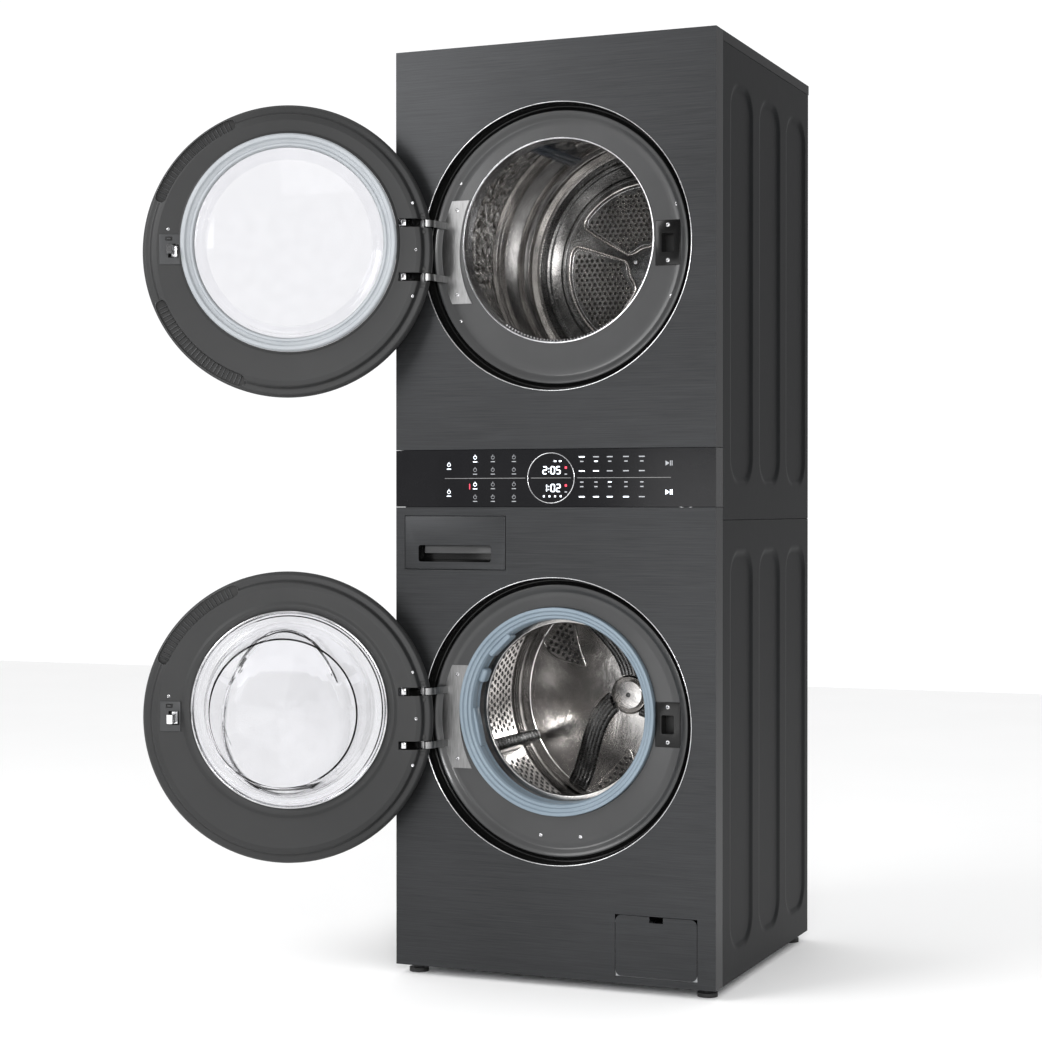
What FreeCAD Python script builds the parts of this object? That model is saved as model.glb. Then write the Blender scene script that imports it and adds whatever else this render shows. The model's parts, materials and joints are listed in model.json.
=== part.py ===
"""Stacked laundry appliance: front-loading washer below, dryer above, in one cabinet.

Frame: origin on the floor under the centre of the cabinet, +X to the appliance's right-hand side as seen
from the front, +Y to the back, +Z up. Millimetres.
"""
import FreeCAD, Part
import math
import os
import re

import Sketcher

Vector = FreeCAD.Vector
Rotation = FreeCAD.Rotation
Placement = FreeCAD.Placement
X_AXIS = Vector(1, 0, 0)
Y_AXIS = Vector(0, 1, 0)
Z_AXIS = Vector(0, 0, 1)
ALONG_Y = Rotation(X_AXIS, -90)        # turns a shape's own Z axis to point backwards, along +Y

# ------------------------------------------------------------------ driving dimensions
SIZES = [
    ("cabinet_width", 686, "outside width of the cabinet"),
    ("cabinet_depth", 670, "front panel face to back panel face"),
    ("cabinet_top", 1889, "top of the lid above the floor"),
    ("floor_gap", 20, "lower edge of the panels above the floor"),
    ("seam", 933, "height of the joint between the lower and upper side panels"),
    ("strip_low", 959, "lower edge of the control panel"),
    ("strip_high", 1074, "upper edge of the control panel"),
    ("sheet_metal", 1.5, "thickness of cabinet sheet"),
    ("wrap", 45, "how far the front panels run round the side corners"),
    ("lid_rim", 20, "height of the lid's rim"),
    ("lid_overhang", 5, "lid beyond the back panel"),
    ("channel_depth", 4, "depth of the stiffening channels pressed in the side panels"),
    ("channel_width", 142, "width of a stiffening channel"),
    ("channel_pitch", 200, "spacing of the stiffening channels"),
    ("channel_reach", 785, "height of a stiffening channel"),
    ("door_x", 6, "centre of both closed doors, to the right of the cabinet's centre"),
    ("dryer_door_z", 1478, "centre height of the dryer door"),
    ("washer_door_z", 530.5, "centre height of the washer door"),
    ("ring_lip", 291, "outer radius of the recess ring's lip"),
    ("ring_wall", 286, "inner radius of the recess wall"),
    ("recess_depth", 30, "front face to the recess floor"),
    ("door_radius", 297, "outer radius of a door"),
    ("rim_half", 14, "half thickness of a door's rounded rim"),
    ("pin_x", -271, "hinge pin axis"),
    ("pin_front", 21, "hinge pin axis in front of the cabinet face"),
    ("door_open", 160, "angle a door stands open"),
    ("arm_z", 54.5, "height of a hinge arm above or below the door's centre"),
    ("arm_tall", 13.5, "height of a hinge arm's section"),
    ("dryer_drum_z", 1493, "height of the dryer drum's axis"),
    ("dryer_mouth", 205, "radius of the dryer's opening"),
    ("dryer_drum", 286, "outer radius of the dryer drum"),
    ("washer_drum_z", 548, "height of the washer drum's axis"),
    ("gasket_outer", 210, "outer radius of the washer's door gasket"),
    ("washer_mouth", 176, "radius of the washer drum's mouth"),
    ("washer_drum", 250, "outer radius of the washer drum"),
    ("tub", 272, "outer radius of the tub"),
    ("shell", 1.5, "thickness of drum shells"),
    ("glass", 4, "thickness of door glass"),
    ("latch_x", 235, "centre of the latch slots"),
    ("drawer_left", -322.5, "left edge of the detergent drawer's front"),
    ("drawer_wide", 222.5, "width of the detergent drawer's front"),
    ("drawer_low", 832, "lower edge of the detergent drawer's front"),
    ("drawer_tall", 108, "height of the detergent drawer's front"),
    ("pump_left", 136, "left edge of the pump cover"),
    ("pump_wide", 168.5, "width of the pump cover"),
    ("pump_low", 35, "lower edge of the pump cover"),
    ("pump_tall", 120, "height of the pump cover"),
    ("filter_x", 205, "axis of the pump filter"),
    ("filter_z", 92, "height of the pump filter's axis"),
    ("exhaust_radius", 50.8, "outer radius of the exhaust collar"),
    ("exhaust_z", 1010, "height of the exhaust collar"),
    ("inlet_radius", 13.2, "outer radius of the water inlet threads"),
    ("spigot_out", 38, "how far the back fittings stand out"),
    ("roller_radius", 38, "outer radius of the drum's support rollers"),
    ("pulley_radius", 16, "radius of the motor pulley"),
    ("motor_x", -165, "motor axis"),
    ("motor_z", 1125, "height of the motor axis"),
]

doc = FreeCAD.newDocument("LaundryStack")
sheet = doc.addObject("Spreadsheet::Sheet", "Sizes")
for line, (alias, number, note) in enumerate(SIZES, 1):
    sheet.set(f"A{line}", note)
    sheet.set(f"B{line}", str(number))
    sheet.setAlias(f"B{line}", alias)
doc.recompute()

ALIASES = {alias for alias, number, note in SIZES}
D = {alias: float(number) for alias, number, note in SIZES}
NODES = {}


# ------------------------------------------------------------------ helpers
def sized(expression):
    """An expression in sheet aliases, written for setExpression."""
    return re.sub(r"[a-z_]+", lambda m: "Sizes." + m[0] if m[0] in ALIASES else m[0], str(expression))


def worth(expression):
    """The same expression's value now, for places that a constraint or an axis needs as a number."""
    return float(doc.Sizes.evalExpression(sized(expression)))


def bind(item, **expressions):
    for prop, expression in expressions.items():
        item.setExpression(prop.replace("__", "."), sized(expression))


def put(item, x=0, y=0, z=0):
    bind(item, Placement__Base__x=x, Placement__Base__y=y, Placement__Base__z=z)
    return item


def block(name, low, high):
    """A box between two corners, each three expressions."""
    item = doc.addObject("Part::Box", name)
    for prop, a, b in zip(("Length", "Width", "Height"), low, high):
        bind(item, **{prop: f"({b}) - ({a})"})
    return put(item, *low)


def rod(name, radius, start, length, along=Z_AXIS):
    """A cylinder from a start point, along X, Y or Z."""
    item = doc.addObject("Part::Cylinder", name)
    item.Placement = Placement(Vector(), Rotation(Z_AXIS, along))
    bind(item, Radius=radius, Height=length)
    return put(item, *start)


def fuse(name, *parts):
    item = doc.addObject("Part::MultiFuse", name)
    item.Shapes = list(parts)
    item.Refine = True
    return item


def cut(name, base, *tools):
    item = doc.addObject("Part::Cut", name)
    item.Base = base
    item.Tool = tools[0] if len(tools) == 1 else fuse(name + "_tools", *tools)
    item.Refine = True
    return item


def group(name, *parts):
    """Separate solids kept side by side in one node."""
    item = doc.addObject("Part::Compound", name)
    item.Links = list(parts)
    return item


def tube(name, outer, inner, start, length, along=Z_AXIS):
    return cut(name, rod(name + "_outer", outer, start, length, along),
               rod(name + "_inner", inner, start, length, along))


def node(label, item):
    """Names a finished sub-part."""
    item.Label = label
    NODES[label] = item
    return item


def origin_plane(body, role):
    return next(item for item in body.Origin.OriginFeatures if item.Role == role)


def outline(body, name, points, role="XZ_Plane"):
    """A closed outline in one of a body's planes. Each point is two expressions; a third item makes the
    stretch that leaves it an arc through that middle point."""
    sketch = body.newObject("Sketcher::SketchObject", name)
    sketch.AttachmentSupport = [(origin_plane(body, role), "")]
    sketch.MapMode = "FlatFace"
    places = [Vector(worth(p[0]), worth(p[1]), 0) for p in points]
    ends = []
    for i, point in enumerate(points):
        here, there = places[i], places[(i + 1) % len(points)]
        if len(point) == 2:
            sketch.addGeometry(Part.LineSegment(here, there), False)
            ends.append((1, 2))
            continue
        via = Vector(worth(point[2][0]), worth(point[2][1]), 0)
        forward = (via - here).cross(there - via).z > 0          # a sketch's arcs run anticlockwise
        first, last = (here, there) if forward else (there, here)
        sketch.addGeometry(Part.Arc(first, via, last), False)
        curve = sketch.Geometry[i]
        ends.append((1, 2) if forward else (2, 1))
        sketch.addConstraint(Sketcher.Constraint("DistanceX", -1, 1, i, 3, curve.Center.x))
    for i, point in enumerate(points):
        sketch.addConstraint(Sketcher.Constraint("Coincident", i - 1 if i else len(points) - 1, ends[i - 1][1],
                                                 i, ends[i][0]))
        for axis, size, words in (("DistanceX", places[i].x, point[0]), ("DistanceY", places[i].y, point[1])):
            number = sketch.addConstraint(Sketcher.Constraint(axis, -1, 1, i, ends[i][0], size))
            sketch.setExpression(f"Constraints[{number}]", sized(words))
    return sketch


def turned(label, points, angle=360):
    """A body of revolution: (radius, depth) points turned about the body's vertical axis."""
    body = doc.addObject("PartDesign::Body", label)
    profile = outline(body, label + "_profile", points)
    turn = body.newObject("PartDesign::Revolution", label + "_turn")
    turn.Profile = profile
    turn.ReferenceAxis = (profile, ["V_Axis"])
    turn.Angle = angle
    return body


def turned_at(label, points, x, z, y="0"):
    """A body of revolution about a line along Y; its depths are measured back from y."""
    body = turned(label, points)
    body.Placement = Placement(Vector(), ALONG_Y)
    return put(body, x, y, z)


def rounded(name, base, radius, direction):
    """Rounds the edges of a base that run in one direction."""
    doc.recompute()
    picked = []
    for number, edge in enumerate(base.Shape.Edges, 1):
        if isinstance(edge.Curve, Part.Line) and abs(edge.Curve.Direction.dot(direction)) > 0.999:
            picked.append((number, worth(radius), worth(radius)))
    item = doc.addObject("Part::Fillet", name)
    item.Base = base
    item.Edges = picked
    return item


def common(name, *parts):
    item = doc.addObject("Part::MultiCommon", name)
    item.Shapes = list(parts)
    return item


def mirrored(name, source, normal=X_AXIS):
    item = doc.addObject("Part::Mirroring", name)
    item.Source = source
    item.Normal = normal
    return item


def hollow(name, low, high, wall, open_sides=""):
    """A box shell; open_sides holds -x, +x, -y, +y, -z, +z for faces that are left off."""
    inner_low = [f"({low[i]}) {'- 1' if '-' + side in open_sides else '+ ' + str(wall)}"
                 for i, side in enumerate("xyz")]
    inner_high = [f"({high[i]}) {'+ 1' if '+' + side in open_sides else '- ' + str(wall)}"
                  for i, side in enumerate("xyz")]
    return cut(name, block(name + "_outer", low, high), block(name + "_inner", inner_low, inner_high))


FRONT = "(-cabinet_depth / 2)"
BACK = "(cabinet_depth / 2)"
SIDE = "(cabinet_width / 2)"
INNER = "(cabinet_width / 2 - sheet_metal)"
FLOOR = "(-cabinet_depth / 2 + recess_depth)"
PIN_Y = "(-cabinet_depth / 2 - pin_front)"
DRYER, WASHER = "dryer", "washer"
MACHINES = (DRYER, WASHER)
DOOR_Z = {DRYER: "dryer_door_z", WASHER: "washer_door_z"}
MOUTH_Z = {DRYER: "dryer_drum_z", WASHER: "washer_drum_z"}
GAP = 1                                # visible gap round panels, drawer and cover


# ------------------------------------------------------------------ cabinet
def base_frame():
    low = (f"-{INNER} + 0.5", f"{FRONT} + 3", 22)
    high = (f"{INNER} - 0.5", f"{BACK} - 3", 50)
    tray = hollow("base_tray", low, high, 2.5, "+z")
    window = block("base_window", (-280, -270, 20), (280, 270, 30))
    rails = [block(f"base_rail_{y}", (f"-{INNER} + 1", y, 24.5), (f"{INNER} - 1", y + 40, 50)) for y in (-80, 80)]
    nuts, threads = [], []
    for x, y in foot_places():
        nuts.append(block(f"base_nut_{x}_{y}", (x - 20, y - 20, 24), (x + 20, y + 20, 44)))
        threads.append(rod(f"base_thread_{x}_{y}", 5.05, (x, y, 20), 40))
    solid = fuse("base_solid", cut("base_open", tray, window), *rails, *nuts)
    node("base_frame", cut("base_frame", solid, *threads))


def foot_places():
    return [(x, y) for y in (-290, 300) for x in (-312, 312)]


def foot(name, x, y):
    pad = rod(name + "_pad", 20, (x, y, 0), 8)
    collar = rod(name + "_collar", 11, (x, y, 8), 6)
    stem = rod(name + "_stem", 5, (x, y, 14), 30)
    return fuse(name, pad, collar, stem)


def feet():
    left, right, rear_left, rear_right = foot_places()
    node("front_foot_left", foot("front_foot_left", *left))
    node("front_foot_right", foot("front_foot_right", *right))
    node("rear_feet", group("rear_feet", foot("rear_foot_left", *rear_left), foot("rear_foot_right", *rear_right)))


def side_panel(name, low, high):
    """A right-hand side sheet with three stiffening channels pressed inwards."""
    sheet_part = block(name + "_sheet", (INNER, f"{FRONT} + wrap", low), (SIDE, BACK, high))
    dishes, recesses = [], []
    for i in range(3):
        middle = f"35 + {i - 1} * channel_pitch"
        left, right = f"{middle} - channel_width / 2", f"{middle} + channel_width / 2"
        foot_z = f"({low}) + 62" if low == "floor_gap" else f"({low}) + 77"
        dish = block(f"{name}_dish_{i}", (f"{INNER} - channel_depth", f"{left} - 2", f"{foot_z} - 2"),
                     (INNER, f"{right} + 2", f"{foot_z} + channel_reach + 2"))
        recess = block(f"{name}_recess_{i}", (f"{SIDE} - channel_depth", left, foot_z),
                       (f"{SIDE} + 1", right, f"{foot_z} + channel_reach"))
        dishes.append(rounded(f"{name}_dish_{i}_round", dish, 52, X_AXIS))
        recesses.append(rounded(f"{name}_recess_{i}_round", recess, 50, X_AXIS))
    return cut(name, fuse(name + "_formed", sheet_part, *dishes), *recesses)


def side_panels():
    for label, low, high in (("side_panels_lower", "floor_gap", f"seam - {GAP} / 2"),
                             ("side_panels_upper", f"seam + {GAP} / 2", f"cabinet_top - lid_rim - {GAP}")):
        right = side_panel(label + "_right", low, high)
        node(label, group(label, right, mirrored(label + "_left", right)))


def wrapped_sheet(name, low, high):
    """A front panel whose sides run back round the cabinet's corners."""
    outer = block(name + "_face", (f"-{SIDE}", FRONT, low), (SIDE, f"{FRONT} + wrap - {GAP}", high))
    inner = block(name + "_behind", (f"-{INNER}", f"{FRONT} + sheet_metal", f"({low}) - 1"),
                  (INNER, f"{FRONT} + wrap + 1", f"({high}) + 1"))
    return cut(name + "_sheet", outer, inner)


def through_front(name, low_x, low_z, high_x, high_z):
    """A square opening cut through the front, GAP larger all round."""
    return block(name, (f"({low_x}) - {GAP}", f"{FRONT} - 5", f"({low_z}) - {GAP}"),
                 (f"({high_x}) + {GAP}", f"{FRONT} + 5", f"({high_z}) + {GAP}"))


def door_hole(machine):
    return rod(f"{machine}_panel_hole", "ring_lip - 3", ("door_x", f"{FRONT} - 5", DOOR_Z[machine]), 20, Y_AXIS)


def front_panels():
    upper = wrapped_sheet("front_panel_upper", f"strip_high + {GAP}", "cabinet_top")
    node("front_panel_upper", cut("front_panel_upper", upper, door_hole(DRYER)))
    lower = wrapped_sheet("front_panel_lower", "floor_gap", f"strip_low - {GAP}")
    drawer = through_front("drawer_hole", "drawer_left", "drawer_low", "drawer_left + drawer_wide",
                           "drawer_low + drawer_tall")
    pump = through_front("pump_hole", "pump_left", "pump_low", "pump_left + pump_wide", "pump_low + pump_tall")
    node("front_panel_lower", cut("front_panel_lower", lower, door_hole(WASHER), drawer, pump))
    node("control_panel", wrapped_sheet("control_panel", "strip_low", "strip_high"))
    board = block("control_board", (-170, f"{FRONT} + 9", "strip_low + 14"), (170, f"{FRONT} + 33", "strip_high - 14"))
    node("control_board", board)


def top_panel():
    lid = hollow("lid_shell", (f"-{SIDE}", f"{FRONT} + wrap", "cabinet_top - lid_rim"),
                 (SIDE, f"{BACK} + lid_overhang", "cabinet_top"), "sheet_metal", "-z-y")
    tongue = block("lid_tongue", (f"-{INNER} + 0.5", f"{FRONT} + sheet_metal + 0.5", "cabinet_top - sheet_metal"),
                   (f"{INNER} - 0.5", f"{FRONT} + wrap", "cabinet_top"))
    node("top_panel", fuse("top_panel", lid, tongue))


INLET_X = (-175, -125)                 # hot and cold water inlets
INLET_Z = 900
DRAIN_X, DRAIN_Z = 262, 860
EXHAUST_X = 60


def back_panel():
    plate = block("back_sheet", (f"-{INNER}", f"{BACK} - sheet_metal", "floor_gap"),
                  (INNER, BACK, f"cabinet_top - lid_rim - {GAP}"))
    places = [(x, INLET_Z, "inlet_radius + 3") for x in INLET_X]
    places += [(DRAIN_X, DRAIN_Z, "inlet_radius + 3"), (EXHAUST_X, "exhaust_z", "exhaust_radius + 3")]
    holes = [rod(f"back_hole_{i}", radius, (x, f"{BACK} - 10", z), 20, Y_AXIS)
             for i, (x, z, radius) in enumerate(places)]
    node("back_panel", cut("back_panel", plate, *holes))


def bead(name, x, z, radius):
    """Ring round a pipe where it leaves the cabinet, which a connected hose or duct stops against."""
    return rod(name, radius, (x, f"{BACK} + 0.5", z), 2, Y_AXIS)


# ------------------------------------------------------------------ recess rings, hinges and latches
def recess_ring(machine):
    """Dish that a closed door sits in; depths are measured back from the cabinet's face."""
    points = [("ring_wall", -2), ("ring_lip", -2), ("ring_lip", 0), ("ring_lip - 3.5", 0),
              ("ring_lip - 3.5", "recess_depth + 2"), (150, "recess_depth + 2"), (150, "recess_depth"),
              (262, "recess_depth"), (265, "recess_depth - 4"), (270, "recess_depth - 4"),
              (273, "recess_depth"), ("ring_wall", "recess_depth")]
    dish = turned_at(machine + "_ring_dish", points, "door_x", DOOR_Z[machine], FRONT)
    mouth = "dryer_mouth" if machine == DRYER else "gasket_outer + 0.5"
    opening = rod(machine + "_ring_opening", mouth, (0, f"{FLOOR} - 20", MOUTH_Z[machine]), 40, Y_AXIS)
    slot = latch_box(machine + "_ring_slot", machine, 14.5, 20, f"{FLOOR} - 20", f"{FLOOR} + 20")
    node(machine + "_ring", cut(machine + "_ring", dish, opening, slot))


def latch_box(name, machine, half_x, half_z, front, back):
    """A box centred on a machine's latch."""
    return block(name, (f"latch_x - {half_x}", front, f"{DOOR_Z[machine]} - {half_z}"),
                 (f"latch_x + {half_x}", back, f"{DOOR_Z[machine]} + {half_z}"))


def mouth_space(machine, name):
    """Room round the mouth that the plates bolted to the recess floor keep clear of."""
    return rod(name + "_mouth_space", "gasket_outer + 1", (0, f"{FLOOR} - 3", MOUTH_Z[machine]), 3, Y_AXIS)


def latch_receiver(machine):
    """Plate with a slot for the door's hook, and the switch box behind it."""
    name = machine + "_receiver"
    blank = latch_box(name + "_blank", machine, 26, 44.5, f"{FLOOR} - 2", FLOOR)
    plate = cut(name + "_plate", blank, mouth_space(machine, name))
    shell = latch_box(name + "_case", machine, 20, 32, f"{FLOOR} + 2", f"{FLOOR} + 28")
    neck = latch_box(name + "_neck", machine, 14.3, 19.8, FLOOR, f"{FLOOR} + 2")
    slot = latch_box(name + "_slot", machine, 13, 18.5, f"{FLOOR} - 10", f"{FLOOR} + 26")
    return cut(name, fuse(name + "_solid", plate, neck, shell), slot)


HINGE_ARM_HALF = 1.5                   # half the thickness of a hinge arm
HINGE_SLOT_Z = 9                       # half height of the door's slot for an arm
LUG_OFFSET = 17                        # pin supports above and below each arm
LUG_HALF = 3.75                        # half height of a pin support


def arm_path():
    """Centre line of a hinge arm seen from above: from the pin, round the rim of the open door, to the plate."""
    pin = Vector(D["pin_x"], worth(PIN_Y), 0)
    turn = math.radians(180 - D["door_open"])
    reach = D["door_radius"] - D["rim_half"] - (D["door_x"] - D["pin_x"])
    rim = pin + Vector(math.cos(turn), math.sin(turn), 0) * reach
    clear = D["rim_half"] + HINGE_ARM_HALF + 1.2
    bend = [rim + Vector(math.cos(math.radians(a)), math.sin(math.radians(a)), 0) * clear for a in (-70, -25, 20)]
    end = Vector(pin.x + 30, worth(FLOOR) - 2, 0)
    return [Part.LineSegment(pin, bend[0]), Part.Arc(*bend), Part.LineSegment(bend[2], end)]


def hinge_arm(name, z):
    """One steel arm with the eye that holds its pin."""
    wire = Part.Wire([curve.toShape() for curve in arm_path()])
    strip = Part.Face(wire.makeOffset2D(HINGE_ARM_HALF, 0, False, False))
    low = z - D["arm_tall"] / 2
    strip.translate(Vector(0, 0, low))
    pin = Vector(D["pin_x"], worth(PIN_Y), 0)
    eye = Part.makeCylinder(6, D["arm_tall"], pin + Vector(0, 0, low))
    plate_face = Part.makeBox(100, 100, D["arm_tall"], Vector(pin.x - 50, worth(FLOOR) - 2, low))
    shape = strip.extrude(Vector(0, 0, D["arm_tall"])).fuse(eye).cut(plate_face)
    span = LUG_OFFSET + LUG_HALF + 2
    shape = shape.fuse(Part.makeCylinder(3, 2 * span, pin + Vector(0, 0, z - span))).removeSplitter()
    item = doc.addObject("Part::Feature", name)
    item.Shape = shape
    return item


def hinge(machine):
    name = machine + "_hinge"
    middle = D[DOOR_Z[machine]]
    annulus = tube(name + "_annulus", 261, 219, ("door_x", f"{FLOOR} - 2", DOOR_Z[machine]), 2, Y_AXIS)
    window = block(name + "_window", (-300, f"{FLOOR} - 3", f"{DOOR_Z[machine]} - 105"),
                   (-150, f"{FLOOR} + 1", f"{DOOR_Z[machine]} + 105"))
    plate = cut(name + "_plate", common(name + "_blank", annulus, window), mouth_space(machine, name))
    arms = [hinge_arm(f"{name}_arm_{i}", middle + side * D["arm_z"]) for i, side in enumerate((-1, 1))]
    return fuse(name, plate, *arms)


def rings_and_hardware():
    for machine in MACHINES:
        recess_ring(machine)
    node("door_hinges", group("door_hinges", hinge(DRYER), hinge(WASHER)))
    node("latch_receivers", group("latch_receivers", latch_receiver(DRYER), latch_receiver(WASHER)))
    screws = []
    for machine in MACHINES:
        places = [("latch_x", f"{DOOR_Z[machine]} + {dz}") for dz in (-34.7, 34.7)]
        places += [(f"door_x - 240 * cos({a})", f"{DOOR_Z[machine]} + 240 * sin({a})") for a in (-21, 21)]
        for i, (x, z) in enumerate(places):
            screws.append(rod(f"{machine}_screw_{i}", 4.5, (x, f"{FLOOR} - 4", z), 2, Y_AXIS))
    node("ring_screws", group("ring_screws", *screws))


# ------------------------------------------------------------------ washer
WASHER_AXIS = (0, "washer_drum_z")
TUB_FRONT, TUB_BACK = -268, 174
FIRST_LIFTER = {DRYER: 5, WASHER: 35}   # how far round a machine's first lifter stands


def lifter_turns(machine):
    return [FIRST_LIFTER[machine] + step for step in (0, 120, 240)]


def lifters(machine, radius, tall, front, back):
    """Three fins inside a drum, each cut to the drum's inner curve."""
    fins = []
    for turn in lifter_turns(machine):
        fin = block(f"{machine}_fin_{turn}", (f"({radius}) - {tall}", -16, front), (radius, 16, back))
        trim = rod(f"{machine}_fin_trim_{turn}", f"({radius}) - 0.1", (0, 0, front), f"({back}) - ({front})")
        shaped = common(f"{machine}_fin_shaped_{turn}", fin, trim)
        shaped.Placement = Placement(Vector(), ALONG_Y.multiply(Rotation(Z_AXIS, turn)))
        fins.append(put(shaped, 0, 0, MOUTH_Z[machine]))
    return group(machine + "_lifters", *fins)


def washer_drum():
    shell_points = [("washer_mouth", -248), ("washer_drum", -248), ("washer_drum", 130), (0, 130), (0, "130 - shell"),
                    ("washer_drum - shell", "130 - shell"), ("washer_drum - shell", "shell - 248"),
                    ("washer_mouth", "shell - 248")]
    node("washer_drum", turned_at("washer_drum", shell_points, *WASHER_AXIS))
    node("washer_lifters", lifters(WASHER, "washer_drum - shell", 55, -215, 95))
    centre = (0, 130, "washer_drum_z")
    shaft = rod("spider_shaft", 15, centre, 110, Y_AXIS)
    hub = rod("spider_hub", 38, centre, 15, Y_AXIS)
    arms = []
    for turn in lifter_turns(WASHER):
        arm = block(f"spider_arm_{turn}", (20, -18, 130), ("washer_drum - 6", 18, 142))
        arm.Placement = Placement(Vector(), ALONG_Y.multiply(Rotation(Z_AXIS, turn)))
        # The arm is made along the drum's own axis, so its place is the axis plus its turned offset.
        corner = arm.Placement.Rotation.multVec(Vector(20, -18, 130))
        arms.append(put(arm, corner.x, corner.y, f"washer_drum_z + {corner.z}"))
    node("washer_spider", fuse("washer_spider", shaft, hub, *arms))
    cup = [(15, 228), (129, 228), (129, 198), (132, 198), (132, 231), (15, 231)]
    node("motor_rotor", turned_at("motor_rotor", cup, *WASHER_AXIS))


def tub():
    front_points = [(192, TUB_FRONT), ("tub", TUB_FRONT), ("tub", -61), ("tub - 3", -61), ("tub - 3", TUB_FRONT + 3),
                    (192, TUB_FRONT + 3)]
    node("tub_front", turned_at("tub_front", front_points, *WASHER_AXIS))
    rear_points = [("tub - 3", -60), ("tub", -60), ("tub", TUB_BACK), (45, TUB_BACK), (45, 192), (26, 192), (26, 150),
                   (45, 150), (45, TUB_BACK - 4), ("tub - 3", TUB_BACK - 4)]
    shell = turned_at("tub_rear_shell", rear_points, *WASHER_AXIS)
    ears = [block(f"tub_ear_{side}", (240 if side > 0 else -304, -30, 672), (304 if side > 0 else -240, 10, 684))
            for side in (-1, 1)]
    hollow_tub = rod("tub_hollow", "tub - 1.5", (0, -50, "washer_drum_z"), 100, Y_AXIS)
    node("tub_rear", fuse("tub_rear", shell, *[cut(ear.Name + "_trim", ear, hollow_tub) for ear in ears]))
    rings = [tube(f"bearing_{y}", 26, 15.05, (0, y, "washer_drum_z"), 14, Y_AXIS) for y in (152, 176)]
    node("bearings", group("bearings", *rings))
    node("stator", tube("stator", 112, 60, (0, 198, "washer_drum_z"), 24, Y_AXIS))
    bellows = [("gasket_outer - 0.5", -317), ("gasket_outer - 0.5", -296), (202, -290), (202, TUB_FRONT),
               (188, TUB_FRONT), (188, -284), (184, -290), (184, -310), (190, -317)]
    node("door_gasket", turned_at("door_gasket", bellows, *WASHER_AXIS))
    weight_ring = tube("weight_ring", 258, 214, (0, -297, "washer_drum_z"), 26, Y_AXIS)
    waist = block("weight_waist", (-300, -310, "washer_drum_z - 95"), (300, -260, "washer_drum_z + 80"))
    node("counterweights", cut("counterweights", weight_ring, waist))


def suspension():
    springs = []
    for side in (-1, 1):
        wire = doc.addObject("Part::Helix", f"spring_line_{side}")
        wire.Pitch, wire.Height, wire.Radius = 9, 126, 12
        put(wire, side * 288, -10, 700)
        section = doc.addObject("Part::Circle", f"spring_section_{side}")
        section.Radius = 2
        section.Placement = Placement(Vector(side * 288 + 12, -10, 700), Rotation(X_AXIS, 90))
        coil = doc.addObject("Part::Sweep", f"spring_{side}")
        coil.Sections = [section]
        coil.Spine = (wire, ["Edge1"])
        coil.Solid = True
        coil.Frenet = True
        springs.append(coil)
    node("suspension_springs", group("suspension_springs", *springs))
    legs = []
    for x in (-150, 150):
        for y in (-60, 100):
            body = tube(f"damper_body_{x}_{y}", 16, 10, (x, y, 50), 130)
            piston = rod(f"damper_rod_{x}_{y}", 8, (x, y, 70), 242)
            legs += [body, piston]
    node("dampers", group("dampers", *legs))


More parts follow.
